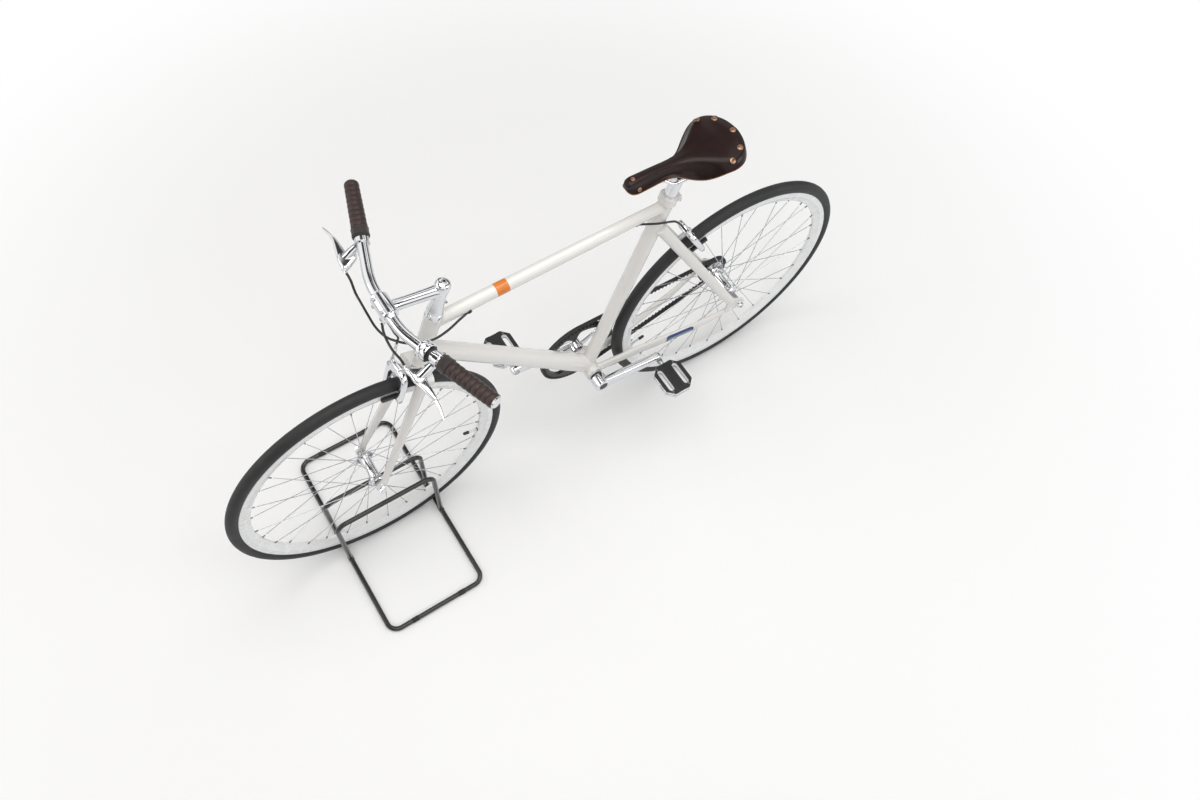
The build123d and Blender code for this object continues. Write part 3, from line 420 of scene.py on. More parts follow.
    def hexagon(self, seat, axis, across_flats, height, finish, bore=POLE):
        """A hexagon nut or bolt head with chamfered corners."""
        axis = Vector(axis).normalized()
        flat = across_flats / 2
        corner = flat / cos(radians(30))
        side, upward = square_to(axis)
        rings = []
        for level, limit in ((0, flat * 1.04), (height * 0.12, corner), (height * 0.86, corner),
                             (height, flat * 0.97), (height, bore)):
            ring = []
            for turn in turns(48):
                nearest = (turn + pi / 6) % (pi / 3) - pi / 6
                reach = bore if limit == bore else min(flat / cos(nearest), limit)
                ring.append(Vector(seat) + axis * level
                            + (side * cos(turn) + upward * sin(turn)) * reach)
            rings.append(ring)
        self.rings(rings, finish)

    def ribs(self, centre, first, second, count, radius, size, finish, bevel, axis=None):
        """Small raised ribs in a circle; their second side runs along the axis or the circle."""
        for turn in turns(count):
            out = first * cos(turn) + second * sin(turn)
            round_it = second * cos(turn) - first * sin(turn)
            self.box(centre + out * radius, out, round_it if axis is None else axis, size,
                     finish, bevel)

    def threads(self, origin, axis, radius, length, pitch=1.0):
        """A threaded end with a chamfer."""
        profile = []
        for n in range(int(length / pitch)):
            profile += [(n * pitch, radius - 0.35), (n * pitch + pitch / 2, radius)]
        profile += [(length, radius - 0.35), (length + 0.5, radius - 0.9), (length + 0.5, POLE)]
        self.turned(origin, axis, profile, "steel", 24)

    def make(self, body, replaces=(), sharp=34.0):
        """Makes the object, rides it on its body when one is named, and hides the frame nodes it
        stands for.
        """
        mesh = bpy.data.meshes.new(self.name)
        mesh.from_pydata([p * MILLIMETRE for p in self.points], [], self.faces)
        for finish in self.finishes:
            mesh.materials.append(FINISHES[finish])
        mesh.polygons.foreach_set("material_index", self.indices)
        mesh.polygons.foreach_set("use_smooth", [True] * len(mesh.polygons))
        work = bmesh.new()
        work.from_mesh(mesh)
        bmesh.ops.remove_doubles(work, verts=work.verts, dist=0.00001)
        bmesh.ops.recalc_face_normals(work, faces=work.faces)
        work.to_mesh(mesh)
        work.free()
        mesh.set_sharp_from_angle(angle=radians(sharp))
        piece = link_new(self.name, mesh)
        if isinstance(body, str):
            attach(piece, body)
        else:
            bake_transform(piece)
        if replaces:
            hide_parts(*replaces)


def coat(finish, *nodes):
    """Gives frame nodes a finish."""
    for node in nodes:
        for slot in frame["nodes"][node].material_slots:
            slot.material = FINISHES[finish]


# ---------------------------------------------------------------- finishes
GROUPS = {}
FINISHES = {}


def feed(tree, node, inputs):
    """Gives a node's inputs their values, or links them to other sockets."""
    for name, value in inputs.items():
        if isinstance(value, bpy.types.NodeSocket):
            tree.links.new(value, node.inputs[name])
        else:
            node.inputs[name].default_value = value


def add(tree, kind, inputs=None, **settings):
    """A new node with its settings and its inputs."""
    node = tree.nodes.new(kind)
    for name, value in settings.items():
        setattr(node, name, value)
    feed(tree, node, inputs or {})
    return node


def calc(tree, operation, a, b, **settings):
    return add(tree, "ShaderNodeMath", {0: a, 1: b}, operation=operation, **settings).outputs[0]


def mix(tree, factor, a, b, **settings):
    return add(tree, "ShaderNodeMix", {0: factor, 6: a, 7: b}, data_type="RGBA",
               **settings).outputs[2]


def noise(tree, place, scale, detail, roughness=0.5, distortion=0.0):
    return add(tree, "ShaderNodeTexNoise", {
        "Vector": place, "Scale": scale, "Detail": detail, "Roughness": roughness,
        "Distortion": distortion}).outputs["Fac"]


def ramp(tree, factor, stops):
    """A colour ramp from (place, grey) stops."""
    node = add(tree, "ShaderNodeValToRGB", {"Fac": factor})
    elements = node.color_ramp.elements
    while len(elements) > len(stops):
        elements.remove(elements[-1])
    while len(elements) < len(stops):
        elements.new(0.5)
    for element, (place, grey) in zip(elements, stops):
        element.position = place
        element.color = (grey, grey, grey, 1)
    return node.outputs["Color"]


def effect(name, inputs, outputs):
    """A new shared node group with named sockets, and the object's coordinates inside it."""
    group = GROUPS[name] = bpy.data.node_groups.new(name, "ShaderNodeTree")
    for label, value in inputs.items():
        kind = {float: "Float", tuple: "Vector"}[type(value)]
        if "Color" in label:
            kind = "Color"
        socket = group.interface.new_socket(name=label, in_out="INPUT",
                                            socket_type="NodeSocket" + kind)
        socket.default_value = value
    for label in outputs:
        kind = "NodeSocketColor" if label == "Color" else "NodeSocketFloat"
        group.interface.new_socket(name=label, in_out="OUTPUT", socket_type=kind)
    into, out = group.nodes.new("NodeGroupInput").outputs, group.nodes.new("NodeGroupOutput")
    return group, into, out, add(group, "ShaderNodeTexCoord").outputs["Object"]


def make_effects():
    """The effects that the finishes share; each gives only colours, masks, values or heights."""
    # handling marks: a second colour in soft patches and fine scratches
    group, into, out, place = effect("handling_wear", {
        "Color": (0.8, 0.8, 0.8, 1), "Worn Color": (0.6, 0.6, 0.6, 1), "Amount": 0.3,
        "Scale": 12.0}, ("Color", "Mask"))
    broad = noise(group, place, into["Scale"], 6.0, 0.62)
    fine = noise(group, place, calc(group, "MULTIPLY", into["Scale"], 14.0), 3.0)
    mixed = calc(group, "MULTIPLY", ramp(group, broad, [(0.42, 0.0), (0.68, 1.0)]),
                 ramp(group, fine, [(0.35, 0.35), (0.7, 1.0)]))
    mask = calc(group, "MULTIPLY", mixed, into["Amount"])
    feed(group, out, {"Color": mix(group, mask, into["Color"], into["Worn Color"]),
                      "Mask": mask})

    # roughness that changes softly over a surface, as polish, fingers and dust leave it
    group, into, out, place = effect("gloss_variation", {
        "Roughness": 0.3, "Spread": 0.1, "Scale": 40.0}, ("Roughness",))
    shift = calc(group, "ADD", noise(group, place, into["Scale"], 5.0, 0.7), -0.5)
    change = calc(group, "MULTIPLY", shift, into["Spread"])
    feed(group, out, {"Roughness": calc(group, "ADD", change, into["Roughness"],
                                        use_clamp=True)})

    # leather grain: pebbled cells with fine creases between them
    group, into, out, place = effect("leather_grain", {"Scale": 700.0, "Creases": 0.4},
                                     ("Height", "Mask"))
    cells = add(group, "ShaderNodeTexVoronoi", {
        "Vector": place, "Scale": into["Scale"], "Randomness": 0.9}, feature="DISTANCE_TO_EDGE")
    creases = noise(group, place, calc(group, "MULTIPLY", into["Scale"], 0.09), 8.0, 0.72, 0.6)
    pebble = ramp(group, cells.outputs["Distance"], [(0.0, 0.0), (0.22, 1.0)])
    part = calc(group, "MULTIPLY", creases, into["Creases"])
    feed(group, out, {"Height": calc(group, "ADD", pebble, part), "Mask": pebble})

    # a fine even texture: cast, sprayed or moulded skin
    group, into, out, place = effect("moulded_skin", {"Scale": 900.0}, ("Height",))
    feed(group, out, {"Height": noise(group, place, into["Scale"], 4.0, 0.6)})

    # fine lines left by polishing wheels, stretched along one axis
    group, into, out, place = effect("polishing_lines", {
        "Scale": 600.0, "Stretch": (1.0, 0.06, 1.0)}, ("Height",))
    stretched = add(group, "ShaderNodeVectorMath", {0: place, 1: into["Stretch"]},
                    operation="MULTIPLY")
    feed(group, out, {"Height": noise(group, stretched.outputs[0], into["Scale"], 3.0)})


def shade(value):
    """A colour; a single number is a grey."""
    return (value, value, value) if isinstance(value, float) else tuple(value)


def scaled(colour, amount):
    return tuple(part * amount for part in colour)


def painted(name, colour, worn, amount, wear_scale):
    """A new material, its nodes, its surface, and the colour that handling gives it."""
    material = bpy.data.materials.new(name)
    material.use_nodes = True
    tree = material.node_tree
    wear = add(tree, "ShaderNodeGroup", node_tree=GROUPS["handling_wear"])
    feed(tree, wear, {"Color": (*shade(colour), 1), "Worn Color": (*shade(worn), 1),
                      "Amount": amount, "Scale": wear_scale})
    return material, tree, tree.nodes["Principled BSDF"], wear.outputs["Color"]


def finish(name, colour, worn, amount, wear_scale, rough, relief_scale, depth, spread_by=0.1,
           gloss_scale=40.0, metal=0.0, relief="moulded_skin", coat_weight=0.0,
           coat_rough=0.05, creases=0.4, sheen=0.0, specular=0.5, stretch=(1.0, 0.06, 1.0)):
    """A finish made of the shared effects, each with its own values."""
    material, tree, surface, base = painted(name, colour, worn, amount, wear_scale)
    gloss = add(tree, "ShaderNodeGroup", node_tree=GROUPS["gloss_variation"])
    feed(tree, gloss, {"Roughness": rough, "Spread": spread_by, "Scale": gloss_scale})
    texture = add(tree, "ShaderNodeGroup", node_tree=GROUPS[relief])
    feed(tree, texture, {"Scale": relief_scale})
    if relief == "leather_grain":
        feed(tree, texture, {"Creases": creases})
    if relief == "polishing_lines":
        feed(tree, texture, {"Stretch": stretch})
    bump = add(tree, "ShaderNodeBump", {"Strength": depth, "Distance": 0.0004,
                                        "Height": texture.outputs["Height"]})
    feed(tree, surface, {
        "Base Color": base, "Roughness": gloss.outputs["Roughness"],
        "Normal": bump.outputs["Normal"], "Metallic": metal, "Coat Weight": coat_weight,
        "Coat Roughness": coat_rough, "Sheen Weight": sheen, "Specular IOR Level": specular})
    FINISHES[name] = material


def make_finishes(looks):
    """All the finishes, from the shared effects and the colours in the panel."""
    make_effects()
    cream, brown, grip = (shade(colour) for colour in (
        looks.frame_colour, looks.saddle_colour, looks.grip_colour))
    # colour, worn colour, how worn, wear scale, roughness, relief scale and depth
    finish("cream_paint", cream, scaled(cream, 0.9), 0.25, 7, 0.2, 420, 0.035, spread_by=0.08,
           coat_weight=0.7)
    finish("orange_band", looks.band_colour, (0.42, 0.09, 0.01), 0.35, 60, 0.3, 900, 0.05,
           coat_weight=0.5)
    finish("label_grey", (0.26, 0.33, 0.38), (0.36, 0.42, 0.45), 0.5, 60, 0.35, 900, 0.05)
    finish("label_blue", (0.03, 0.06, 0.22), (0.07, 0.1, 0.27), 0.4, 60, 0.32, 900, 0.05)
    finish("polished_alloy", (0.86, 0.86, 0.88), (0.6, 0.6, 0.61), 0.22, 16, 0.12, 900, 0.03,
           metal=1.0, relief="polishing_lines")
    finish("brushed_alloy", (0.78, 0.79, 0.8), 0.42, 0.3, 30, 0.32, 700, 0.09, spread_by=0.14,
           metal=1.0, relief="polishing_lines", stretch=(1.0, 0.08, 1.0))
    finish("chrome", (0.88, 0.88, 0.9), (0.78, 0.78, 0.79), 0.15, 20, 0.06, 300, 0.015,
           spread_by=0.05, metal=1.0)
    finish("pedal_silver", 0.9, 0.6, 0.2, 30, 0.35, 800, 0.05, metal=0.6)
    finish("steel", 0.5, (0.3, 0.29, 0.28), 0.4, 80, 0.3, 900, 0.06, spread_by=0.15, metal=1.0)
    finish("spoke_steel", (0.56, 0.57, 0.58), 0.34, 0.3, 40, 0.26, 1200, 0.03, metal=1.0)
    finish("copper", (0.42, 0.24, 0.16), (0.2, 0.1, 0.07), 0.6, 180, 0.3, 1600, 0.06, metal=1.0)
    finish("rim_white", (0.97, 0.97, 0.965), (0.86, 0.86, 0.85), 0.12, 9, 0.27, 500, 0.03,
           coat_weight=0.5)
    finish("tyre_rubber", (0.017, 0.017, 0.018), 0.04, 0.6, 14, 0.56, 1100, 0.25, spread_by=0.2)
    finish("rubber", (0.014, 0.014, 0.015), (0.04, 0.038, 0.036), 0.5, 60, 0.6, 1300, 0.3)
    finish("belt_rubber", (0.013, 0.013, 0.014), (0.035, 0.035, 0.036), 0.5, 50, 0.5, 1500, 0.25)
    finish("black_plastic", (0.016, 0.016, 0.017), 0.045, 0.4, 50, 0.38, 1500, 0.2,
           spread_by=0.12)
    # near-black painted shade, put in bolt sockets, spoke and bolt holes, pad grooves and the
    # collar's slit
    finish("painted_shade_black", (0.008, 0.008, 0.009), 0.02, 0.3, 50, 0.5, 900, 0.05)
    finish("cable_black", (0.012, 0.012, 0.013), 0.03, 0.3, 40, 0.3, 800, 0.06)
    finish("stand_black", (0.01, 0.01, 0.011), 0.03, 0.3, 20, 0.2, 500, 0.05, coat_weight=0.6)
    finish("sprocket_black", (0.012, 0.012, 0.013), 0.06, 0.35, 70, 0.34, 1000, 0.1)
    finish("nipple_dark", 0.2, 0.1, 0.5, 200, 0.3, 900, 0.05, metal=0.9)
    finish("saddle_brown", brown, scaled(brown, 0.42), 0.75, 20, 0.4, 900, 0.15, spread_by=0.2,
           gloss_scale=60, relief="leather_grain", coat_weight=0.3, coat_rough=0.13,
           creases=0.9, specular=0.16)
    finish("leather_edge", (0.33, 0.13, 0.04), (0.16, 0.055, 0.02), 0.6, 70, 0.5, 1400, 0.3,
           relief="leather_grain")
    finish("leather_underside", (0.2, 0.1, 0.05), (0.1, 0.05, 0.025), 0.6, 50, 0.75, 1300, 0.4,
           relief="leather_grain")
    finish("grip_brown", grip, scaled(grip, 2.3), 0.5, 45, 0.4, 1100, 0.3, spread_by=0.2,
           gloss_scale=90, relief="leather_grain", creases=0.6, coat_weight=0.15,
           coat_rough=0.3)
    finish("grip_edge", (0.06, 0.028, 0.017), (0.025, 0.011, 0.008), 0.5, 90, 0.62, 1500, 0.4,
           relief="leather_grain")
    finish("collar_cloth", (0.02, 0.017, 0.018), (0.055, 0.05, 0.05), 0.5, 120, 0.8, 1500, 0.4,
           relief="polishing_lines", sheen=0.3, stretch=(1.0, 0.3, 1.0))
    for finish_name, nodes in (
            ("cream_paint", ("fork_crown", "left_fork_blade", "right_fork_blade", "head_tube",
                             "top_tube", "down_tube", "seat_tube", "bottom_bracket_shell",
                             "left_chainstay", "right_chainstay", "seatstays", "rear_dropouts",
                             "seat_collar")),
            ("polished_alloy", ("headset_top", "stem", "stem_faceplate", "handlebar", "seatpost",
                                "headset_cups")),
            ("brushed_alloy", ("bottom_bracket_cups",)),
            ("stand_black", ("stand_floor_frame", "stand_hoops"))):
        coat(finish_name, *nodes)


# ---------------------------------------------------------------- wheels
def tyre_profile():
    """The tyre's section: a slick round tread with fine rings, sidewalls and a bead line."""
    round_radius = 14.3
    centre = TYRE_RADIUS - 14.35
    points = []
    for turn in turns(72):
        reach = round_radius
        tread = abs((turn + pi) % (2 * pi) - pi)
        if tread < radians(58):
            reach -= 0.28 * max(0.0, cos(tread * round_radius * 2 * pi / 3.4)) ** 6
        elif abs(tread - radians(74)) < radians(3):
            reach += 0.18
        elif abs(tread - radians(118)) < radians(3.5):
            reach -= 0.3
        points.append((reach * sin(turn), centre + reach * cos(turn)))
    return points


def build_tyre(end, axle):
    tyre = Piece(end + "_tyre_casing")
    tyre.turned(axle, SIDE, tyre_profile(), "tyre_rubber", 168, loop=True)
    tyre.make(end + "_wheel", [end + "_tyre"], sharp=80)


def build_rim(end, axle, valve_turn):
    """A deep rim with side tracks, a raised seam and a valve."""
    rim = Piece(end + "_rim_hoop")
    section = [(0, 285.0), (3.6, 284.4), (4.4, 285.6), (5.6, 289.5), (8.2, 297.6), (10.0, 300.4),
               (10.5, 301.6), (10.5, 302.4), (10.2, 302.8), (10.2, 312.2), (10.5, 312.7),
               (10.4, 314.0), (9.4, 314.2), (0, 313.2)]
    profile = section + [(-a, r) for a, r in section[-2:0:-1]]
    rim.turned(axle, SIDE, profile, "rim_white", 168, loop=True)
    across = round_side(valve_turn)
    base = axle + across * NIPPLE_RADIUS
    rim.turned(base, -across, [(-0.8, 4.6), (0.6, 4.6), (1.4, 3.9), (1.4, POLE)], "rubber", 24)
    ridges = [[(1.6 + n, 2.9), (2.1 + n, 3.15), (2.6 + n, 2.9)] for n in range(22)]
    for outline in [[(0, 2.9), (24, 2.9), (24.6, 2.4)]] + ridges:
        rim.turned(base, -across, outline, "brushed_alloy", 24)
    rim.capped(base, -across, [(23.6, 3.6), (24.2, 4.0), (35.5, 3.7), (38, 2.8), (39, 1.4)],
               "black_plastic", 24)
    rim.make(end + "_wheel", [end + "_rim"], sharp=28)


def turned_point(axle, radius, angle, side):
    return axle + Vector((radius * cos(radians(angle)), side, radius * sin(radians(angle))))


def hole_angle(n, side):
    """Where a flange's spoke hole lies; the right flange's are half a step on."""
    return n * HOLE_STEP + (HOLE_STEP / 2 if side == RIGHT else 0)


def build_spokes(end, axle, hole_radius, flanges):
    """Three-cross spokes with bent heads, and nipples at the rim."""
    spokes = Piece(end + "_spoke_set")
    for flange, side in zip(flanges, SIDES):
        for n in range(SPOKES_PER_FLANGE):
            leading = n % 2
            hole = hole_angle(n, side)
            lean = 3 * HOLE_STEP * (1 if leading else -1)
            out = 2.4 if leading else -2.4
            head = turned_point(axle, hole_radius, hole, flange - side * out)
            through = turned_point(axle, hole_radius, hole, flange + side * out * 0.45)
            foot = turned_point(axle, hole_radius, hole, flange + side * out)
            tip = turned_point(axle, NIPPLE_RADIUS, hole + lean, side * (2.4 + out / 2.4))
            along = (tip - foot).normalized()
            spokes.tube([through, foot - along * 0.3, foot + along * 2.2, tip - along * 11.5],
                        0.9, "spoke_steel", 8)
            spokes.ball(head + (through - head) * 0.28, 1.8, "spoke_steel", 10,
                        axis=through - head, squash=0.55)
            spokes.capped(tip, -along, [(-0.6, 2.0), (0.8, 2.0), (1.4, 1.6), (6.2, 1.5),
                                        (7.4, 1.3), (8, 1.0)], "nipple_dark", 10)
    spokes.make(end + "_wheel", [end + "_spokes"], sharp=35)


def spoke_holes(hub, axle, radius, flange, side):
    """Spoke holes on both faces of a hub flange, drawn as discs of painted shade."""
    for n in range(SPOKES_PER_FLANGE):
        spot = turned_point(axle, radius, hole_angle(n, side), flange)
        for face in SIDES:
            hub.turned(spot, SIDE * face, [(1.3, POLE), (1.54, 0.02), (1.54, 1.5), (1.3, 1.7)],
                       "painted_shade_black", 10)


def build_front_hub():
    hub = Piece("front_hub_shell")
    half = [(37.4, 5.6), (37.4, 10.2), (36.9, 10.9), (36, 11.2), (34.6, 12.4), (34.5, 20.4),
            (33.9, 21), (32.1, 21), (31.5, 20.4), (31.5, 14.6), (30, 13.6), (25, 12.7),
            (23.5, 12.6), (23.2, 12.2), (21.6, 12.2), (21.3, 12.6), (12, 11.7)]
    hub.turned(FRONT_AXLE, SIDE, half + [(-a, r) for a, r in half[::-1]], "polished_alloy", 72,
               loop=True)
    for side, flange in zip(SIDES, FRONT_FLANGES):
        hub.turned(FRONT_AXLE + SIDE * side * 37.45, SIDE * side,
                   [(-1, 5.7), (0, 6), (0, 9.6), (-1, 10)], "black_plastic", 48)
        spoke_holes(hub, FRONT_AXLE, FRONT_HOLES, flange, side)
    hub.make("front_wheel", ["front_hub"], sharp=38)


def build_rear_hub():
    hub = Piece("rear_hub_shell")
    profile = [(37, 5.6), (36.8, 11.3), (36, 12), (33.7, 13.8), (33.5, 23.4), (32.9, 24),
               (31.1, 24), (30.5, 23.4), (30.5, 17), (29, 16.1), (23, 14.8), (20, 14.6),
               (19.7, 14.2), (18, 14.2), (17.7, 14.6), (2.5, 13.8), (-14, 14.6), (-18, 14.8),
               (-24, 16.2), (-25.5, 17), (-25.5, 23.4), (-26.1, 24), (-27.9, 24),
               (-28.5, 23.4), (-28.5, 18.6), (-30, 19.2), (-43.5, 19.2), (-43.7, 17),
               (-52.8, 16.9), (-53.3, 16.4), (-53.4, 5.6)]
    hub.turned(REAR_AXLE, SIDE, profile, "polished_alloy", 72, loop=True)
    hub.turned(REAR_AXLE, SIDE, [(-53.3, 6.5), (-53.6, 7), (-53.6, 11.5), (-53.3, 12),
                                 (-53.45, 12.6), (-53.45, 16)], "sprocket_black", 48)
    for side, flange in zip(SIDES, REAR_FLANGES):
        spoke_holes(hub, REAR_AXLE, REAR_HOLES, flange, side)
    hub.make("rear_wheel", ["rear_hub"], sharp=38)


def build_axle(end, axle, body, cones, seat, tip):
    """Cones, washers with teeth, nuts and threaded ends; the seat is the dropouts' outer face."""
    parts = Piece(end + "_axle_ends")
    for side, (start, stop) in zip(SIDES, cones):
        out = SIDE * side
        parts.turned(axle, out, [(start + 0.1, 4.9), (start + 0.1, 7.6), (start + 3, 8.4),
                                 (stop - 5.5, 8.4), (stop - 5.2, 8.0), (stop - 4.6, 8.0),
                                 (stop - 4.3, 8.4), (stop, 8.4), (stop, 4.9)], "steel", 48)
        parts.turned(axle, out, [(seat, 5), (seat, 10.2), (seat + 0.4, 10.5), (seat + 1.6, 10.5),
                                 (seat + 2, 10.1), (seat + 2, 5)], "chrome", 48)
        parts.ribs(axle + out * (seat + 1), FORWARD, UP, 30, 10.4, (0.5, 0.9, 1.4), "chrome",
                   0.15)
        parts.hexagon(axle + out * (seat + 2.02), out, 14.2, 7.9, "chrome", 4.6)
        parts.threads(axle + out * (seat + 8), out, 4.9, tip - seat - 9)
        parts.turned(axle, out, [(0, 4.9), (seat, 4.9)], "steel", 24)
    parts.make(body, [end + "_axle"], sharp=30)


# ---------------------------------------------------------------- saddle
SADDLE_STATIONS = [  # x, half width at the lower edge, top, half width of the crest, lower edge
    (-146.2, 3.0, 940, 2.4, 930), (-146.8, 6.0, 942.4, 5.0, 928.8), (-148.2, 9.4, 945, 7.6, 927.2),
    (-150.6, 12.6, 947, 9.6, 925.4), (-154, 15.4, 948.6, 10.8, 923.6),
    (-158.6, 17.4, 949.6, 11.4, 922.2), (-165, 18.6, 950.1, 11.6, 921.2),
    (-175, 19.0, 950.2, 11.4, 921), (-198, 19.4, 950, 11.2, 922.8),
    (-225, 20, 948.5, 11.5, 925), (-243, 21, 947, 12, 924), (-258, 23, 946, 13, 919.5),
    (-272, 27, 946, 14.5, 913.5), (-286, 33.5, 946.5, 18, 907.6), (-300, 41, 947.5, 24, 904.6),
    (-314, 51, 949, 33, 907.5), (-330, 62, 951, 45, 917.5), (-346, 70, 953, 56, 927.6),
    (-364, 74.6, 955, 64, 932.6), (-382, 71.5, 956, 61.5, 934), (-396, 63, 956, 53, 934.2),
    (-407, 49.5, 955, 40, 934.6), (-414, 34, 953, 26, 935.5), (-418, 16, 950, 10, 937)]
LEATHER = 4.6
CREST_DROP = 5.0
FLANK_STEPS = 8
CREST_STEPS = 16


def saddle_section(station, inward=0.0):
    """One cross-section of the leather top, from its left lower edge over to its right one."""
    x, half, top, crest, bottom = station
    half -= inward
    crest = max(crest - inward, 2.0)
    top -= inward
    shoulder = top - CREST_DROP
    hollow = 2.4 * max(-0.8, min(1.0, (x + 338) / 40)) * min(1.0, half / 16)
    lean = Vector((half - crest, shoulder - bottom)).normalized()
    side = []
    for n in range(FLANK_STEPS):
        part = n / FLANK_STEPS
        push = hollow * sin(pi * part)
        side.append((half + (crest - half) * part - lean.y * push,
                     bottom + (shoulder - bottom) * part - lean.x * push))
    over = []
    for n in range(CREST_STEPS + 1):
        turn = pi * n / CREST_STEPS
        over.append((crest * cos(turn), shoulder + CREST_DROP * sin(turn) ** 0.85))
    section = side + over + [(-y, z) for y, z in side[::-1]]
    for _ in range(2):
        section = [section[0]] + [
            ((a[0] + 2 * b[0] + c[0]) / 4, (a[1] + 2 * b[1] + c[1]) / 4)
            for a, b, c in zip(section, section[1:], section[2:])] + [section[-1]]
    return [Vector((x, y, z)) for y, z in section]


def smooth_stations(steps):
    """The saddle's stations with smooth steps between them."""
    rows = SADDLE_STATIONS
    first, last = (tuple(2 * a - b for a, b in zip(end, inner))
                   for end, inner in ((rows[0], rows[1]), (rows[-1], rows[-2])))
    ends = [first] + rows + [last]
    return [tuple(smooth_step(*values, n / steps) for values in zip(*four))
            for four in zip(ends, ends[1:], ends[2:], ends[3:]) for n in range(steps)] + rows[-1:]


def on_saddle(x, y):
    """A point of the leather's outer surface and the direction square to it there."""
    station = min(smooth_stations(6), key=lambda row: abs(row[0] - x))
    section = saddle_section(station)
    for a, b in zip(section, section[1:]):
        if a.y >= y >= b.y:
            part = (a.y - y) / max(a.y - b.y, 0.001)
            square = Vector((0, b.z - a.z, a.y - b.y)).normalized()
            return a.lerp(b, part), square
    return section[len(section) // 2], UP


def build_saddle():
    """A moulded leather top with flared flanks, a cut edge and its full thickness below."""
    leather = Piece("saddle_leather_top")
    stations = smooth_stations(3)
    outer = [saddle_section(s) for s in stations]
    inner = [saddle_section(s, inward=LEATHER) for s in stations][4:-4]
    leather.rings(outer, "saddle_brown", closed=False, caps=False)
    leather.rings(inner, "leather_underside", closed=False, caps=False)
    close_ends(leather, outer, "saddle_brown")
    rim = [ring[0] for ring in outer] + [ring[-1] for ring in outer][::-1]
    edge_band(leather, rim)
    leather.make("frame", ["saddle_leather"], sharp=42)


def close_ends(piece, rings, finish_name):
    """Closes the nose and the rear of the leather."""
    index = piece._finish(finish_name)
    for ring in (rings[0], rings[-1]):
        start = len(piece.points)
        piece.points.extend(ring)
        half = len(ring) // 2
        for n in range(half):
            a, b = start + n, start + n + 1
            c, d = start + len(ring) - 2 - n, start + len(ring) - 1 - n
            if b < c:
                piece.face((a, b, c, d), index)
            elif b == c:
                piece.face((a, b, d), index)


def edge_band(piece, rim):
    """The cut lower edge of the leather: a rounded band of its full thickness."""
    plan = [(point.x, point.y) for point in rim]
    rings = []
    for inward, rise in ((0.1, 2.7), (-0.22, 2.5), (-0.25, 0.6), (0.3, -0.1), (1.4, -0.25),
                         (3.2, -0.2), (4.2, 0.3), (4.7, 1.4), (4.8, 6.0)):
        rings.append([Vector((x, y, point.z + rise))
                      for (x, y), point in zip(inset(plan, inward), rim)])
    piece.rings(rings, "leather_edge", caps=False)


def build_rivets():
    """Domed copper rivets at the cantle and the nose, each set into a pressed ring."""
    rivets = Piece("saddle_rivets")
    for x, y, size in ((-405, 0, 1.0), (-391, -44, 1.0), (-391, 44, 1.0), (-361, -62, 1.0),
                       (-361, 62, 1.0), (-164, 0, 0.72), (-172, 15, 0.72), (-172, -15, 0.72)):
        seat, square = on_saddle(x, y)
        rivets.capped(seat, square, [(-2, 6.7 * size), (0.1, 6.7 * size), (0.5, 6.4 * size),
                                     (1.1 * size, 5.0 * size), (1.5 * size, 2.6 * size),
                                     (1.6 * size, 0.5 * size)], "copper", 28)
        rivets.turned(seat, square, [(0.0, 6.8 * size), (0.3, 7.4 * size), (0.0, 8.0 * size)],
                      "saddle_brown", 28)
    rivets.make("frame", sharp=32)


def build_saddle_frame():
    """Rails, rear plate, nose shackle with its tension bolt, and the seatpost clamp."""
    under = Piece("saddle_rails")
    for side in SIDES:
        route = [(-172, 4, 929), (-192, 6.5, 920), (-232, 10.5, 914), (-255, 21, 902),
                 (-292, 21, 902), (-330, 21, 902), (-368, 34, 909), (-392, 37, 929)]
        under.tube(smooth_path([(x, y * side, z) for x, y, z in route], 7), 3.45, "chrome", 14)
    under.plate((-396, 0, 930), SIDE, UP, hull_outline([(y, 0, 5.8) for y in (-36, 36)]), 9.6,
                "steel", 1.2)
    under.box((-172, 0, 925.8), FORWARD, SIDE, (9.6, 13.6, 9.6), "steel", 1.6)
    under.hexagon((-182, 0, 926), -FORWARD, 8.5, 5, "chrome", 2.0)
    under.threads((-168, 0, 926), -FORWARD, 2.8, 26)
    under.make("frame", ["saddle_frame"], sharp=35)

    clamp = Piece("seatpost_clamp")
    for z, thick in ((905.8, 8.6), (898.0, 7.8)):
        clamp.box((-283, 0, z), FORWARD, SIDE, (41.6, 47.6, thick), "polished_alloy", 2.2)
    for x in (-268, -298):
        clamp.hexagon((x, 0, 909.9), UP, 9, 5, "chrome")
    for side in SIDES:
        clamp.turned((-283, side * 21, 902), FORWARD,
                     mirrored([(22.4, 3.6), (22.4, 5.6), (21.6, 6.2)]), "polished_alloy", 28)
    clamp.make("frame", sharp=35)


# ---------------------------------------------------------------- handlebar
GRIP_START = 157.0
LEVER_PLACE = 148.0
BELL_PLACE = 121.0


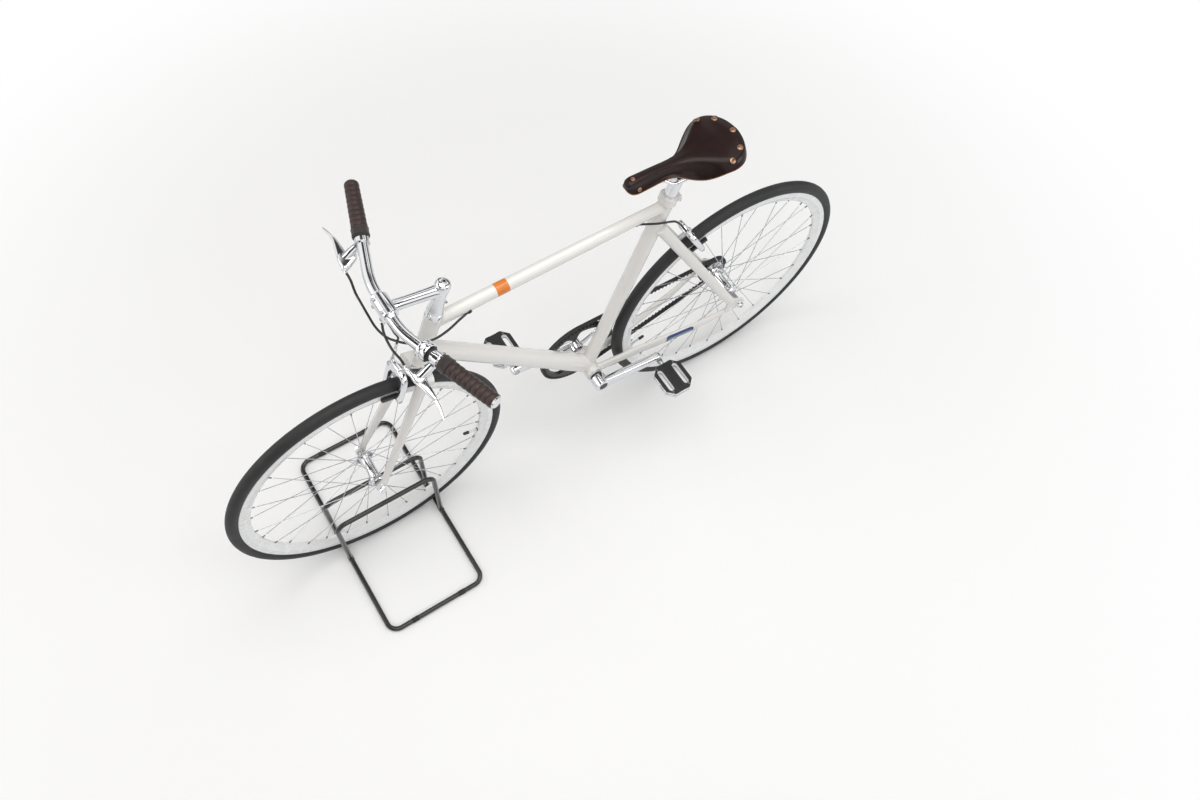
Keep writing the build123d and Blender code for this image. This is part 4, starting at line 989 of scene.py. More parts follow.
def build_grip(side, word):
    """Stacked leather rings, a cloth collar inside and an alloy plug at the end."""
    grip = Piece(word + "_grip_rings")
    outward = bar_outward(side)
    start = on_bar(side * GRIP_START)
    length = (on_bar(side * BAR_END) - start).length

    def turned(profile, finish_name):
        grip.turned(start, outward, profile, finish_name, 48)

    turned([(0, 11.3), (0, 15.4), (1, 16.6), (3, 16.8), (18, 16.8), (20, 16.4), (20.8, 15.4),
            (20.8, 11.3)], "collar_cloth")
    for at in (2.2, 16.2):
        turned([(at, 16.8), (at + 0.8, 17.3), (at + 2.0, 17.3), (at + 2.8, 16.8)], "grip_edge")
    rings = 9
    first = 21.0
    step = (length - first - 0.4) / rings
    for n in range(rings):
        a = first + n * step
        slim = 0.95 - 0.01 * n
        turned([(a + step * part, radius * slim) for part, radius in (
            (0, 14.4), (0.02, 15.4), (0.06, 16.0), (0.25, 16.6), (0.5, 16.85), (0.75, 16.6),
            (0.94, 16.0), (0.98, 15.4), (1, 14.4))], "grip_brown")
        turned([(a + step + 0.5 * part, (15.4 - 0.4 * abs(part)) * slim)
                for part in (-1, 0, 1)], "grip_edge")
    end = first + rings * step
    turned([(end - 0.4, 11.2), (end - 0.1, 12.6), (end + 0.4, 12.6), (end + 0.4, 11.2)],
           "grip_edge")
    grip.capped(start, outward, [(end, 12.2), (end + 1.4, 12.2), (end + 2.4, 11.6),
                                 (end + 2.9, 10.2), (end + 3.0, 6)], "polished_alloy", 48)
    turned([(end + 2.96, 6.2), (end + 2.4, 5.4), (end + 2.4, POLE)], "brushed_alloy")
    grip.make("front_end", [word + "_grip"])


def build_lever(side, word):
    """A slim polished brake lever on its clamp band, with a pivot bolt and an adjuster."""
    lever = Piece(word + "_lever")
    centre = on_bar(side * LEVER_PLACE)
    outward = bar_outward(side)
    lever.turned(centre, outward, mirrored([(5.5, 11.3), (5.5, 14.0), (4.9, 14.6)]),
                 "polished_alloy", 56)
    pivot = Vector((389, side * 150, 899))
    stop = Vector((399, side * 126, 900))
    body = smooth_path([centre + (pivot - centre) * 0.30, centre + (pivot - centre) * 0.62,
                        pivot + Vector((1, side * -2, 0)), pivot + Vector((5.5, side * -12, 1.0)),
                        stop + Vector((0, side * 5, 0))], 6)
    lever.tube(body, [(7.6, 8.2), (8.8, 8.4), (9.6, 7.6), (7.6, 6.4), (4.6, 4.6)],
               "polished_alloy", 28)
    lever.capped(stop, SIDE * -side, [(-7, 3.2), (-6.5, 4.1), (-1.2, 4.1), (-0.6, 3.6), (0, 3.6),
                                      (0.4, 3.1)], "polished_alloy", 28)
    lever.ribs(stop + SIDE * side * 3.6, FORWARD, UP, 18, 4.1, (0.7, 0.7, 4.2), "polished_alloy",
               0.2)
    housing = hull_outline([(0, 0, 12.4), (6, side * -19, 7.0), (-14, side * -3, 11.0)], 8)
    lever.plate(pivot + Vector((-0.5, 0, 0.2)), FORWARD, SIDE, housing, 14.4, "polished_alloy",
                4.6)
    root = hull_outline([(0, 0, 11.4), (-3.6, side * 26, 6.6), (-4.6, side * 50, 4.2)], 8)
    lever.plate(pivot, FORWARD, SIDE, root, 9.0, "polished_alloy", 3.2)
    lever.capped(pivot, UP, [(-8.4, 3.6), (-8, 4.0), (-7, 4.0), (-7, 3.0), (7.0, 3.0), (7.0, 4.2),
                             (8.2, 4.2), (8.7, 3.6)], "steel", 24)
    # the pivot bolt's socket is painted shade
    lever.turned(pivot, UP, [(8.72, 1.9), (7.6, 1.9), (7.6, POLE)], "painted_shade_black", 6)
    blade = [(389.5, 151, 899), (390, 158, 899), (385.5, 181, 899), (384.5, 203, 897),
             (386, 224, 894), (389.5, 242, 890)]
    route = smooth_path([(x, side * y, z) for x, y, z in blade], 7)
    lever.tube(route, [(6.8, 4.8), (6.6, 4.4), (5.2, 3.6), (3.8, 2.8), (2.6, 2.2), (1.8, 1.6)],
               "polished_alloy", 20)
    lever.ball(route[-1], 1.85, "polished_alloy", 20, axis=route[-1] - route[-2], squash=0.9)
    clamp = centre - (pivot - centre).normalized() * 14.4
    lever.socket_bolt(clamp + Vector((0, 0, -2)), (centre - pivot).normalized(), 3.2, 3.4, "steel")
    lever.make("front_end", [word + "_brake_lever"])


def build_bell():
    """A two-part ring bell around the bar, with its clamp and striker."""
    centre = on_bar(BELL_PLACE)
    outward = bar_outward(LEFT)
    opening = radians(205)
    gap = radians(24)
    wall = 2.6
    bell = Piece("bell_ring")
    for a, b, outer in ((-9.9, -1.4, 19.4), (1.4, 9.9, 19.4), (-2.0, 2.0, 18.0)):
        bell.turned(centre, outward, [
            (a, outer - wall), (a, outer - 0.9), (a + 0.3, outer - 0.3), (a + 1.0, outer),
            (b - 1.0, outer), (b - 0.3, outer - 0.3), (b, outer - 0.9), (b, outer - wall),
            (b - 0.6, outer - wall + 0.3), (a + 0.6, outer - wall + 0.3)],
            "chrome", 80, loop=True, begin=opening + gap, arc=2 * pi - 2 * gap)
    bell.make("front_end", ["bell"])
    mount = Piece("bell_clamp")
    mount.turned(centre, outward, [(-6, 12.8), (-6, 14.2), (-5.4, 14.8), (5.4, 14.8), (6, 14.2),
                                   (12, 14.2), (13.6, 14.2), (14, 13.6), (14, 11.3)],
                 "black_plastic", 56)
    mount.turned(centre, outward, mirrored([(7, 15.0), (6.6, 16.4)]), "black_plastic", 56,
                 begin=radians(50), arc=radians(260))
    across, along = square_to(outward)
    away = across * cos(opening) + along * sin(opening)
    mount.box(centre + away * 16.0 + outward * 6.0, away, away.cross(outward), (5, 9, 8.5),
              "black_plastic", 1.0)
    mount.tube(smooth_path([centre + away * 17 + outward * 9, centre + away * 19 + outward * 13,
                            centre + away * 21.5 + outward * 15.5], 5), 1.3, "steel", 10)
    mount.ball(centre + away * 22 + outward * 16, 2.6, "black_plastic", 16)
    mount.make("front_end", ["bell_mount"])


def build_stem():
    """A forged quill stem: a flared post with a domed head, a round arm and the bar's clamp."""
    stem = Piece("quill_stem")
    stem.turned(on_head(540.4), ALONG_HEAD, [
        (0, 10), (0, 16.2), (0.8, 17.0), (4, 16.9), (9, 15.9), (18, 14.6), (32, 13.6), (46, 13.2),
        (56, 13.8), (64, 15.4), (70, 16.0), (75, 15.6), (79, 14.0), (81.6, 11.2), (82.9, 7.4),
        (83.1, 5.4)], "polished_alloy", 56)
    foot, tip = Vector((262, 0, 892)), Vector((368, 0, 915.4))
    route = [foot.lerp(tip, t) for t in (0, 0.06, 0.12, 0.2, 0.35, 0.55, 0.75, 0.88, 0.95, 1)]
    stem.tube(route, [14.2, 13.4, 12.6, 12.0, 11.5, 11.2, 11.2, 11.8, 13.0, 14.6],
              "polished_alloy", 40, caps=False)
    stem.turned(BAR_POINT, SIDE, mirrored([(23.4, 11.6), (23.8, 15.2), (23.1, 16.3),
                                           (21.6, 16.8)]),
                "polished_alloy", 40, loop=True, begin=-pi / 2, arc=pi)
    stem.make("front_end", ["stem"])


def build_cockpit_details():
    """Bolts and joint lines of the stem and the bar clamp."""
    parts = Piece("stem_bolts")
    forward_arm = Vector((111, 0, 25)).normalized()
    upward_arm = Vector((-forward_arm.z, 0, forward_arm.x))
    for side in SIDES:
        for tall in SIDES:
            seat = BAR_POINT + SIDE * side * 16 + upward_arm * tall * 10.5 + forward_arm * 13.0
            parts.socket_bolt(seat, forward_arm, 3.4, 4.2, "steel")
    top = on_head(624)
    parts.turned(top, ALONG_HEAD, [(-7, 5.6), (-0.9, 5.6), (0, 4.9), (0.25, 4.2), (0.25, 2.6)],
                 "steel", 32)
    # the top bolt's socket is painted shade
    parts.turned(top, ALONG_HEAD, [(0.25, 2.6), (-2.2, 2.6), (-2.2, POLE)], "painted_shade_black", 6)
    for side in SIDES:
        parts.socket_bolt(on_head(568, -13.8, side * 6), SIDE * side, 3.0, 3.2, "steel")
    for up in (531.2, 541.0):
        parts.turned(on_head(up), ALONG_HEAD, mirrored([(0.5, 17.25), (0.2, 17.5)]), "chrome", 64)
    parts.make("front_end")


# ---------------------------------------------------------------- brakes
FRONT_CALIPER = on_head(361, 46)
REAR_CALIPER = on_stay(363, 36)
FRONT_ADJUSTER, FRONT_ADJUSTER_TOP = -28, 54  # beside the centre bolt and above it
REAR_ADJUSTER, REAR_ADJUSTER_TOP = 16, 30


def build_caliper(end, origin, normal, up, axle, adjuster_side, adjuster_top, body):
    """A forged side-pull brake: two arms, a centre bolt, a spring, pads and a cable adjuster."""
    brake = Piece(end + "_brake")
    pads = middle(end + "_brake_pads")
    radial = (pads - axle).normalized()
    reach = (pads - origin).dot(up)
    adjuster_foot = 14
    arm_side = LEFT if adjuster_side > 0 else RIGHT

    def spot(across, tall, ahead=0.0):
        return origin + SIDE * across + up * tall + normal * ahead

    for side in SIDES:
        top = 10 if side == arm_side else 6
        route = smooth_path([spot(-side * 7, top, side * 0.6), spot(side * 10, 7.5),
                             spot(side * 22, 1.5), spot(side * 27.4, -13), spot(side * 27.8, -30),
                             spot(side * 27.4, reach + 3), spot(side * 26.4, reach - 7)], 6)
        brake.tube(route, [(12.0, 8.0), (12.0, 8.0), (10.6, 7.8), (8.2, 7.4), (7.6, 6.8),
                           (7.8, 6.2), (6.2, 5.4)], "polished_alloy", 20, hint=normal,
                   square=0.55)
        brake.turned(spot(side * 24.6, reach), SIDE * side,
                     [(-3.6, 3.1), (-3.4, 6.6), (-2.6, 7.0), (6.6, 7.0), (7.2, 6.4), (7.2, 2.0)],
                     "polished_alloy", 28)
        brake.hexagon(spot(side * 31.6, reach), SIDE * side, 8, 3.6, "steel", 1.5)
    brake.turned(origin, normal, [(-5.2, 3), (-5.2, 9.6), (-4.6, 10.2), (4.6, 10.2), (5.2, 9.6),
                                  (5.2, 6.6), (6.4, 6.6), (6.8, 6.2), (6.8, 2)],
                 "polished_alloy", 40)
    brake.hexagon(origin + normal * 5.3, normal, 10.4, 4.4, "steel", 2.8)
    brake.turned(origin + normal * 9.6, normal, [(0, 2.8), (0.6, 2.8), (1.6, 2.2), (1.8, 0.5)],
                 "steel", 24)
    spring = [(-22, -8, -5.4), (-17, 6, -5.8), (-9, 14, -5.8), (0, 16, -5.8), (9, 14, -5.8),
              (17, 6, -5.8), (22, -8, -5.4)]
    brake.tube(smooth_path([spot(*place) for place in spring], 6), 1.2, "steel", 10)
    arm_base = spot(arm_side * 18, 3)
    eye = spot(adjuster_side, adjuster_foot)
    brake.tube(smooth_path([arm_base, (arm_base + eye) / 2 + normal * 1, eye], 5),
               [(7.0, 4.2), (6.2, 4.0), (5.2, 4.0)], "polished_alloy", 18, hint=normal,
               square=0.6)
    length = adjuster_top - adjuster_foot
    brake.turned(eye, up, [(-4.5, 2.6), (-4.5, 4.6), (-4, 5.2), (3.6, 5.2), (4.2, 4.6),
                           (4.2, 2.9)], "polished_alloy", 28)
    brake.threads(eye + up * 4, up, 2.6, max(3.0, length - 18), 0.9)
    head = eye + up * (length - 15)
    brake.capped(head, up, [(0, 3.4), (0.8, 4.4), (7.4, 4.4), (8.2, 3.8), (8.6, 3.1),
                            (14.6, 3.0), (15, 2.6)], "polished_alloy", 28)
    brake.ribs(head + up * 4.1, SIDE, normal, 14, 4.35, (0.8, 6.0, 1.1), "polished_alloy", 0.2,
               up)
    other = spot(adjuster_side, 3.0, 5.6)
    brake.tube([eye - up * 4, other], 0.75, "steel", 8)
    brake.hexagon(other - normal * 1.4, normal, 8, 4.2, "steel")
    brake.turned(other - normal * 2.4, normal, [(0, POLE), (0, 5.4), (1.0, 5.4), (1.0, POLE)],
                 "steel", 24)
    brake.capped(spot(0, 0, -4), -normal, [(0, 5.9), (26, 5.9)], "steel", 24)
    brake.make(body, [end + "_brake_caliper"])

    blocks = Piece(end + "_brake_pads")
    tangent = SIDE.cross(radial).normalized()
    for side in SIDES:
        centre = Vector((pads.x, side * 16.6, pads.z))
        blocks.box(centre - SIDE * side * 0.8, tangent, radial, (45.6, 9.8, 6.2), "rubber", 1.4)
        blocks.box(centre + SIDE * side * 2.9, tangent, radial, (44, 9.4, 2.2), "black_plastic",
                   1.0)
        # dark strips on each pad's face: painted shade standing for its grooves
        for along in (-13, 0, 13):
            blocks.box(centre + tangent * along - SIDE * side * 3.75, tangent, radial,
                       (1.6, 9.9, 0.5), "painted_shade_black", 0.1)
    blocks.make(body, [end + "_brake_pads"])


def ferrule(piece, end, direction, length=11.0):
    """A metal cap on the end of a cable housing; the direction points back along the cable."""
    piece.turned(end, direction, [(0, 1.0), (0, 3.2), (0.7, 3.5), (length - 2, 3.5),
                                  (length - 1.2, 3.1), (length, 3.0), (length, 2.4)],
                 "polished_alloy", 24)


CABLE_RADIUS = 2.5


def build_front_cable():
    cable = Piece("front_brake_cable_housing")
    barrel = FRONT_CALIPER + SIDE * FRONT_ADJUSTER
    route = [(399, 126, 900), (399, 100, 900), (402, 74, 898.5), (401, 46, 900.5),
             (396, 24, 902), (387, 8, 893), (377.5, -3, 867), (370, -13, 829), (364, -23, 790),
             barrel + ALONG_HEAD * 82, barrel + ALONG_HEAD * FRONT_ADJUSTER_TOP]
    path = smooth_path(route, 10)
    cable.tube(path, CABLE_RADIUS, "cable_black", 14)
    ferrule(cable, path[0], path[6] - path[0])
    ferrule(cable, path[-1], path[-6] - path[-1])
    adjuster = path[48]
    axis = (path[50] - adjuster).normalized()
    cable.turned(adjuster - axis * 13, axis, [
        (0, 2.4), (0, 3.2), (6, 3.4), (6.6, 4.3), (7.2, 4.6), (12.6, 4.6), (13.2, 4.3),
        (13.8, 3.1), (18, 3.0), (18.4, 3.8), (25, 3.4), (25.6, 2.4)], "polished_alloy", 28)
    cable.ribs(adjuster - axis * 3.1, *square_to(axis), 14, 4.55, (0.7, 5.0, 1.0),
               "polished_alloy", 0.2, axis)
    cable.make("front_end", ["front_brake_cable"], sharp=40)


LOOP_ROUTE = [(399, -126, 900), (399, -101, 900), (400.5, -84, 878), (396, -82, 842),
              (391.5, -74, 806), (388, -56, 784), (381, -30, 780.5), (370, -6, 789),
              (355, 16, 798), (334, 31, 803.5), (306, 36, 801), (274, 30, 797.5),
              (244, 20.6, 797.5), (217, 12.5, 797.5)]


def build_loop_cable():
    """The rear brake's housing from the lever into the top tube."""
    cable = Piece("rear_brake_cable_loop_housing")
    path = smooth_path(LOOP_ROUTE, 10)
    cable.tube(path, CABLE_RADIUS, "cable_black", 14)
    ferrule(cable, path[0], path[6] - path[0])
    start, end = (tuple(Vector(LOOP_ROUTE[n]) * MILLIMETRE) for n in (1, -2))
    cable.make(("front_end", "frame", start, end), ["rear_brake_cable_loop"],
               sharp=40)
    guide = Piece("cable_entry_guide")
    entry = Vector(LOOP_ROUTE[-1])
    guide.turned(entry, (Vector(LOOP_ROUTE[-2]) - entry).normalized(), [
        (-3, 2.7), (-3, 5.2), (2.0, 4.9), (4.2, 4.2), (5.0, 3.4), (5.0, 2.7)],
        "black_plastic", 28)
    guide.make("frame")


def build_rear_cable():
    cable = Piece("rear_brake_cable_housing")
    top = REAR_CALIPER + SIDE * REAR_ADJUSTER + STAY_DIRECTION * REAR_ADJUSTER_TOP
    route = [(-168, 3, 805), (-198, 12.5, 798.5), (-226, 20.3, 790.5), (-248, 20.5, 779.5),
             (-265, 16, 766), (-285, 12.5, 750), (-301, 13, 730),
             top + STAY_DIRECTION * 22, top]
    path = smooth_path(route, 10)
    cable.tube(path, CABLE_RADIUS, "cable_black", 14)
    ferrule(cable, path[-1], path[-6] - path[-1], 9)
    leave = Vector(route[1])
    out = (leave - Vector(route[0])).normalized()
    cable.turned(leave - out * 22, out, [(-2, 2.7), (-2, 5.0), (6, 4.6), (8, 3.6), (8.6, 2.7)],
                 "black_plastic", 28)
    cable.make("frame", ["rear_brake_cable"], sharp=40)


# ---------------------------------------------------------------- drive
CRANK_ANGLE = radians(7.0)
CRANK_LENGTH = 170.0
RIGHT_CRANK_END = BRACKET + Vector((CRANK_LENGTH * cos(CRANK_ANGLE), 0,
                                    CRANK_LENGTH * sin(CRANK_ANGLE)))
LEFT_CRANK_END = BRACKET * 2 - RIGHT_CRANK_END
PEDAL_CENTRE = 136.0
PEDAL_HALF = 46.0
FRONT_TEETH = 60
REAR_TEETH = 24
PITCH = 11.0
FRONT_PITCH_RADIUS = FRONT_TEETH * PITCH / (2 * pi)
REAR_PITCH_RADIUS = REAR_TEETH * PITCH / (2 * pi)
BELT_Y = -49.0
BELT_HALF = 4.9
FRONT_CENTRE = Vector((BRACKET.x, BELT_Y, BRACKET.z))
REAR_CENTRE = Vector((REAR_AXLE.x, BELT_Y, REAR_AXLE.z))


def belt_line():
    """Directions of the belt's upper and lower touching points and the length between them."""
    reach = REAR_AXLE - BRACKET
    span = sqrt(reach.x ** 2 + reach.z ** 2)
    turn = atan2(reach.z, reach.x)
    lean = acos((FRONT_PITCH_RADIUS - REAR_PITCH_RADIUS) / span)
    return turn - lean, turn + lean, sqrt(span ** 2 - (FRONT_PITCH_RADIUS
                                                       - REAR_PITCH_RADIUS) ** 2)


UPPER, LOWER, STRAIGHT = belt_line()
REAR_ARC = REAR_PITCH_RADIUS * (LOWER - UPPER)
FRONT_ARC = FRONT_PITCH_RADIUS * (2 * pi - (LOWER - UPPER))
BELT_LENGTH = 2 * STRAIGHT + REAR_ARC + FRONT_ARC


def belt_place(distance):
    """The point and outward direction on the pitch line at a distance from the upper front."""
    distance %= BELT_LENGTH
    for start, first, end, last, turn in (
            (FRONT_CENTRE, FRONT_PITCH_RADIUS, REAR_CENTRE, REAR_PITCH_RADIUS, UPPER),
            (REAR_CENTRE, REAR_PITCH_RADIUS, FRONT_CENTRE, FRONT_PITCH_RADIUS, LOWER)):
        out = round_side(turn)
        if distance < STRAIGHT:
            a, b = start + out * first, end + out * last
            return a + (b - a) * (distance / STRAIGHT), out
        distance -= STRAIGHT
        if distance < REAR_ARC or turn == LOWER:
            angle = turn + distance / last
            out = round_side(angle)
            return end + out * last, out
        distance -= REAR_ARC


def tooth_places():
    """Distances of the belt's teeth, in step with both sprockets."""
    place = -(-UPPER % (2 * pi / FRONT_TEETH)) * FRONT_PITCH_RADIUS
    while place > -FRONT_ARC:
        place -= PITCH
    place += PITCH
    begin = place
    upper_run = []
    while place < STRAIGHT + REAR_ARC:
        upper_run.append(place % BELT_LENGTH)
        place += PITCH
    last = place - PITCH
    rest = (begin + BELT_LENGTH) - last
    count = round(rest / PITCH)
    return upper_run + [(last + rest * n / count) % BELT_LENGTH for n in range(1, count)], last


def build_belt():
    """The toothed belt: a flat back with rounded teeth on its inner side."""
    belt = Piece("toothed_belt")
    count = 330
    section = mirrored([(BELT_HALF, -0.8), (BELT_HALF, 1.7), (4.3, 2.4), (1.1, 2.4), (0.7, 1.9)])
    rings = []
    for n in range(count):
        point, out = belt_place(BELT_LENGTH * n / count)
        rings.append([point + SIDE * y + out * height for y, height in section])
    belt.rings(rings, "belt_rubber", loop=True)
    tooth = mirrored([(3.1, -0.6), (2.6, -2.0), (2.2, -4.2), (1.4, -5.0)])
    for place in tooth_places()[0]:
        point, out = belt_place(place)
        along = SIDE.cross(out).normalized()
        belt.rings([[point + SIDE * y + along * a + out * h for a, h in tooth]
                    for y in (-BELT_HALF, BELT_HALF)], "belt_rubber")
    belt.make("frame", ["drive_belt"])


def sprocket_outline(teeth, pitch_radius, phase):
    """A toothed outline whose grooves hold the belt's teeth."""
    tip, root = 2.2, 7.4
    points = []
    step = 2 * pi / teeth
    for n in range(teeth):
        middle_at = phase + n * step
        for part, drop in ((-0.5, tip), (-0.31, tip), (-0.27, tip + 0.8), (-0.2, root - 0.7),
                           (-0.13, root), (0.13, root), (0.2, root - 0.7), (0.27, tip + 0.8),
                           (0.31, tip)):
            angle = middle_at + part * step
            reach = pitch_radius - drop
            points.append((reach * cos(angle), reach * sin(angle)))
    return points


def ring_plate(piece, origin, outer, inner, thickness):
    """A flat ring across Y between two outlines of equally many points."""
    bevel = 0.5
    half = thickness / 2
    layers = [(-half, bevel), (bevel - half, 0), (half - bevel, 0), (half, bevel)]
    rings = []
    for outline, sign, order in ((outer, 1, layers), (inner, -1, layers[::-1])):
        for y, inward in order:
            rings.append([origin + Vector((x, y, z)) for x, z in inset(outline, inward * sign)])
    piece.rings(rings, "sprocket_black", loop=True)


def build_front_sprocket():
    ring = Piece("front_toothed_ring")
    outer = sprocket_outline(FRONT_TEETH, FRONT_PITCH_RADIUS, 0.0)
    inner = []
    for angle in turns(len(outer)):
        reach = 88.0 - max(0.0, cos(5 * (angle - CRANK_ANGLE))) ** 3 * 29.0
        inner.append((reach * cos(angle), reach * sin(angle)))
    start = outer.index(min(outer, key=lambda p: abs(atan2(p[1], p[0]))))
    ring_plate(ring, FRONT_CENTRE, outer[start:] + outer[:start], inner, 9.6)
    ring.turned(FRONT_CENTRE, SIDE, [(-5.2, 92), (-5.5, 93), (-5.5, 99.4), (-5.2, 100),
                                     (-4.7, 100.2), (-4.7, 92)], "sprocket_black", 120, loop=True)
    ring.make("crankset", ["front_sprocket"], sharp=30)


def build_rear_sprocket():
    ring = Piece("rear_toothed_ring")
    _, out = belt_place(tooth_places()[1])
    outer = sprocket_outline(REAR_TEETH, REAR_PITCH_RADIUS, atan2(out.z, out.x))
    inner = [(17.2 * cos(atan2(y, x)), 17.2 * sin(atan2(y, x))) for x, y in outer]
    origin = REAR_CENTRE
    ring_plate(ring, origin, outer, inner, 8.8)
    ring.turned(origin, SIDE, [(-4.8, 19), (-4.9, 20), (-4.9, 29), (-4.6, 30), (-4.4, 30.2),
                               (-4.4, 19)], "sprocket_black", 72, loop=True)
    ring.turned(origin, SIDE, [(4.0, 17.4), (4.0, 30.6), (4.3, 30.6), (4.49, 30.0), (4.49, 18.6),
                               (4.3, 17.4)], "brushed_alloy", 72, loop=True)
    # dark discs on both faces: painted shade standing for bolt holes
    for angle in turns(8):
        out = round_side(angle)
        ring.turned(origin + out * 25 - SIDE * 4.9, -SIDE, [(0.05, POLE), (0.12, 2.6), (0, 3.0)],
                    "painted_shade_black", 20)
        ring.turned(origin + out * 24.4 + SIDE * 4.49, SIDE, [(0.06, POLE), (0.08, 3.2),
                                                              (0, 3.5)], "painted_shade_black", 24)
    ring.make("rear_sprocket", ["rear_sprocket"], sharp=30)


def build_crank(side, word, end, inner, outer):
    """A forged arm with a domed face, a dust cap, a pedal spindle and its wrench flats."""
    crank = Piece(word + "_crank_arm")
    reach = end - BRACKET
    direction = Vector((reach.x, 0, reach.z)).normalized()
    upward = SIDE.cross(direction)
    outward = SIDE * side
    thick = outer - inner
    base = Vector((BRACKET.x, side * (inner + outer) / 2, BRACKET.z))
    length = sqrt(reach.x ** 2 + reach.z ** 2)
    stations = [(-18.0, 3.0), (-16.8, 8.0), (-13.4, 13.0), (-7, 17.4), (0, 19.0), (8, 18.8),
                (20, 18.0), (34, 17.2), (60, 16.2), (100, 14.8), (140, 13.4), (154, 12.8),
                (163, 12.4), (length, 12.0), (length + 6, 10.6), (length + 10, 7.4),
                (length + 11.6, 3.0)]
    crank.rings([[base + direction * along + upward * (half * signed_power(cos(turn), 0.7))
                  + SIDE * (thick / 2 * signed_power(sin(turn), 0.55)) for turn in turns(28)]
                 for along, half in stations], "polished_alloy")
    face = Vector((BRACKET.x, side * outer, BRACKET.z))
    crank.turned((BRACKET.x, 0, BRACKET.z), outward, [
        (44.2, 8.6), (44.2, 18.6), (44.8, 19.4), (inner + 1, 19.8), (outer - 1.6, 19.2),
        (outer - 0.3, 17.4), (outer - 0.1, 12.4)], "polished_alloy", 56)
    crank.turned(face, outward, [(-0.4, 12.4), (0.0, 12.0), (-0.1, 11.6)], "steel", 48)
    crank.capped(face, outward, [(-1.4, 11.6), (-0.2, 11.6), (0.3, 11.0), (0.35, 8)],
                 "black_plastic", 48)
    # the dust cap's socket is painted shade
    crank.turned(face, outward, [(0.36, 3.2), (-1.2, 3.2), (-1.2, POLE)], "painted_shade_black", 6)
    tip = Vector((end.x, side * outer, end.z))
    crank.turned(tip, outward, [(-0.2, 9.4), (0.2, 9.0), (0.2, 5)], "polished_alloy", 40)
    neck = PEDAL_CENTRE - PEDAL_HALF - outer - 0.3
    crank.turned(tip, outward, [(0, 7.4), (2, 7.5), (2.5, 7.5), (2.6, 7.5)], "steel", 40)
    crank.hexagon(tip + outward * 2.6, outward, 13, 6, "steel", 5.0)
    crank.capped(tip + outward * 8.0, outward, [(0, 6.4), (neck - 10, 5.8), (neck - 8.1, 5.2)],
                 "steel", 32)
    crank.capped(tip, outward, [(0, 4.9), (PEDAL_CENTRE + PEDAL_HALF - outer - 6, 4.9)], "steel",
                 24)
    crank.turned((end.x, side * inner, end.z), -outward,
                 [(-0.2, 8.0), (0.15, 7.6), (0.15, 3.4), (-2, 3.4), (-2, POLE)], "steel", 32)
    if side == LEFT:
        crank.capped((BRACKET.x, 50, BRACKET.z), -SIDE, [(0, 8.4), (119, 8.4)], "steel", 32)
    else:
        seat = Vector((BRACKET.x, -56.6, BRACKET.z))
        for n in range(5):
            angle = CRANK_ANGLE + n * 2 * pi / 5
            out = round_side(angle)
            crank.tube([seat + out * distance for distance in (10, 30, 48, 62, 70)],
                       [(10.5, 2.8), (7.8, 2.8), (6.2, 2.8), (7.2, 2.8), (5.0, 2.4)],
                       "polished_alloy", 20, hint=SIDE, square=0.55)
            crank.socket_bolt(seat + out * 65 - SIDE * 2.6, -SIDE, 4.6, 2.4, "chrome")
    crank.make("crankset", [word + "_crank"])


def build_pedal(side, word, end):
    """A platform pedal: a bright cage, two black slotted plates, treads and a bearing barrel."""
    pedal = Piece(word + "_pedal_platform")
    centre = Vector((end.x, side * PEDAL_CENTRE, end.z))
    half_x, half_y, corner, slot_x = 39.6, 45.6, 17.0, 22.0
    outline = hull_outline([
        disc for fx, fy in ((1, 0), (0, 1))
        for disc in four_corners(half_x - corner * fx - 3, half_y - corner * fy - 3, 3)], 5)

    def slot(fore, radius):
        return hull_outline([(fore * slot_x, y, radius) for y in (-25.4, 25.4)], 5)

    for level in SIDES:
        y_dir = SIDE * level
        pedal.band(centre + UP * level * 4.4, FORWARD, y_dir, outline, inset(outline, 2.4), 6.4,
                   "polished_alloy")
        top = centre + UP * level * 8.0
        for fore in SIDES:
            pedal.holed_plate(top, FORWARD, y_dir, clipped(inset(outline, 0.5), fore, 9.5),
                              slot(fore, 7.4), (fore * slot_x, 0), 2.8, "black_plastic")
        pedal.plate(top, FORWARD, y_dir, hull_outline(four_corners(8.2, half_y - 3, 1.6), 4), 2.6,
                    "rubber", 0.5)
        for k in range(13):
            pedal.box(top + SIDE * (k - 6) * 6.6 + UP * level * 1.0, FORWARD, y_dir,
                      (17, 3.4, 0.8), "rubber", 0.35)
    for fore in SIDES:
        pedal.band(centre, FORWARD, SIDE, slot(fore, 8.4), slot(fore, 7.5), 13.6, "pedal_silver")
        for y in (-36, 36):
            for level in SIDES:
                pedal.socket_bolt(centre + Vector((fore * 24, y, level * 9.2)), UP * level, 1.9,
                                  0.28, "steel")
    for y in (-half_y + 1.4, half_y - 1.4):
        pedal.box(centre + SIDE * y, FORWARD, UP, (34, 12.4, 1.6), "polished_alloy", 0.5)
    pedal.turned(centre, -SIDE * side, [
        (45.6, 5.8), (45.6, 8.4), (44, 8.9), (26, 8.3), (-26, 8.1), (-40, 8.1), (-44, 7.8),
        (-45, 7.2), (-45, 5.8)], "black_plastic", 40)
    pedal.capped(centre + SIDE * side * 43.0, SIDE * side, [(0, 6.6), (2.0, 6.6), (2.4, 5.4)],
                 "black_plastic", 32)
    pedal.make(word + "_pedal", [word + "_pedal"], sharp=32)


def clipped(outline, fore, at):
    """The part of a convex outline that lies beyond a line across it, on one side."""
    kept = []
    for (ax, ay), (bx, by) in zip(outline, outline[1:] + outline[:1]):
        a, b = ax * fore - at, bx * fore - at
        if a >= 0:
            kept.append((ax, ay))
        if (a >= 0) != (b >= 0):
            part = a / (a - b)
            kept.append((ax + (bx - ax) * part, ay + (by - ay) * part))
    return kept


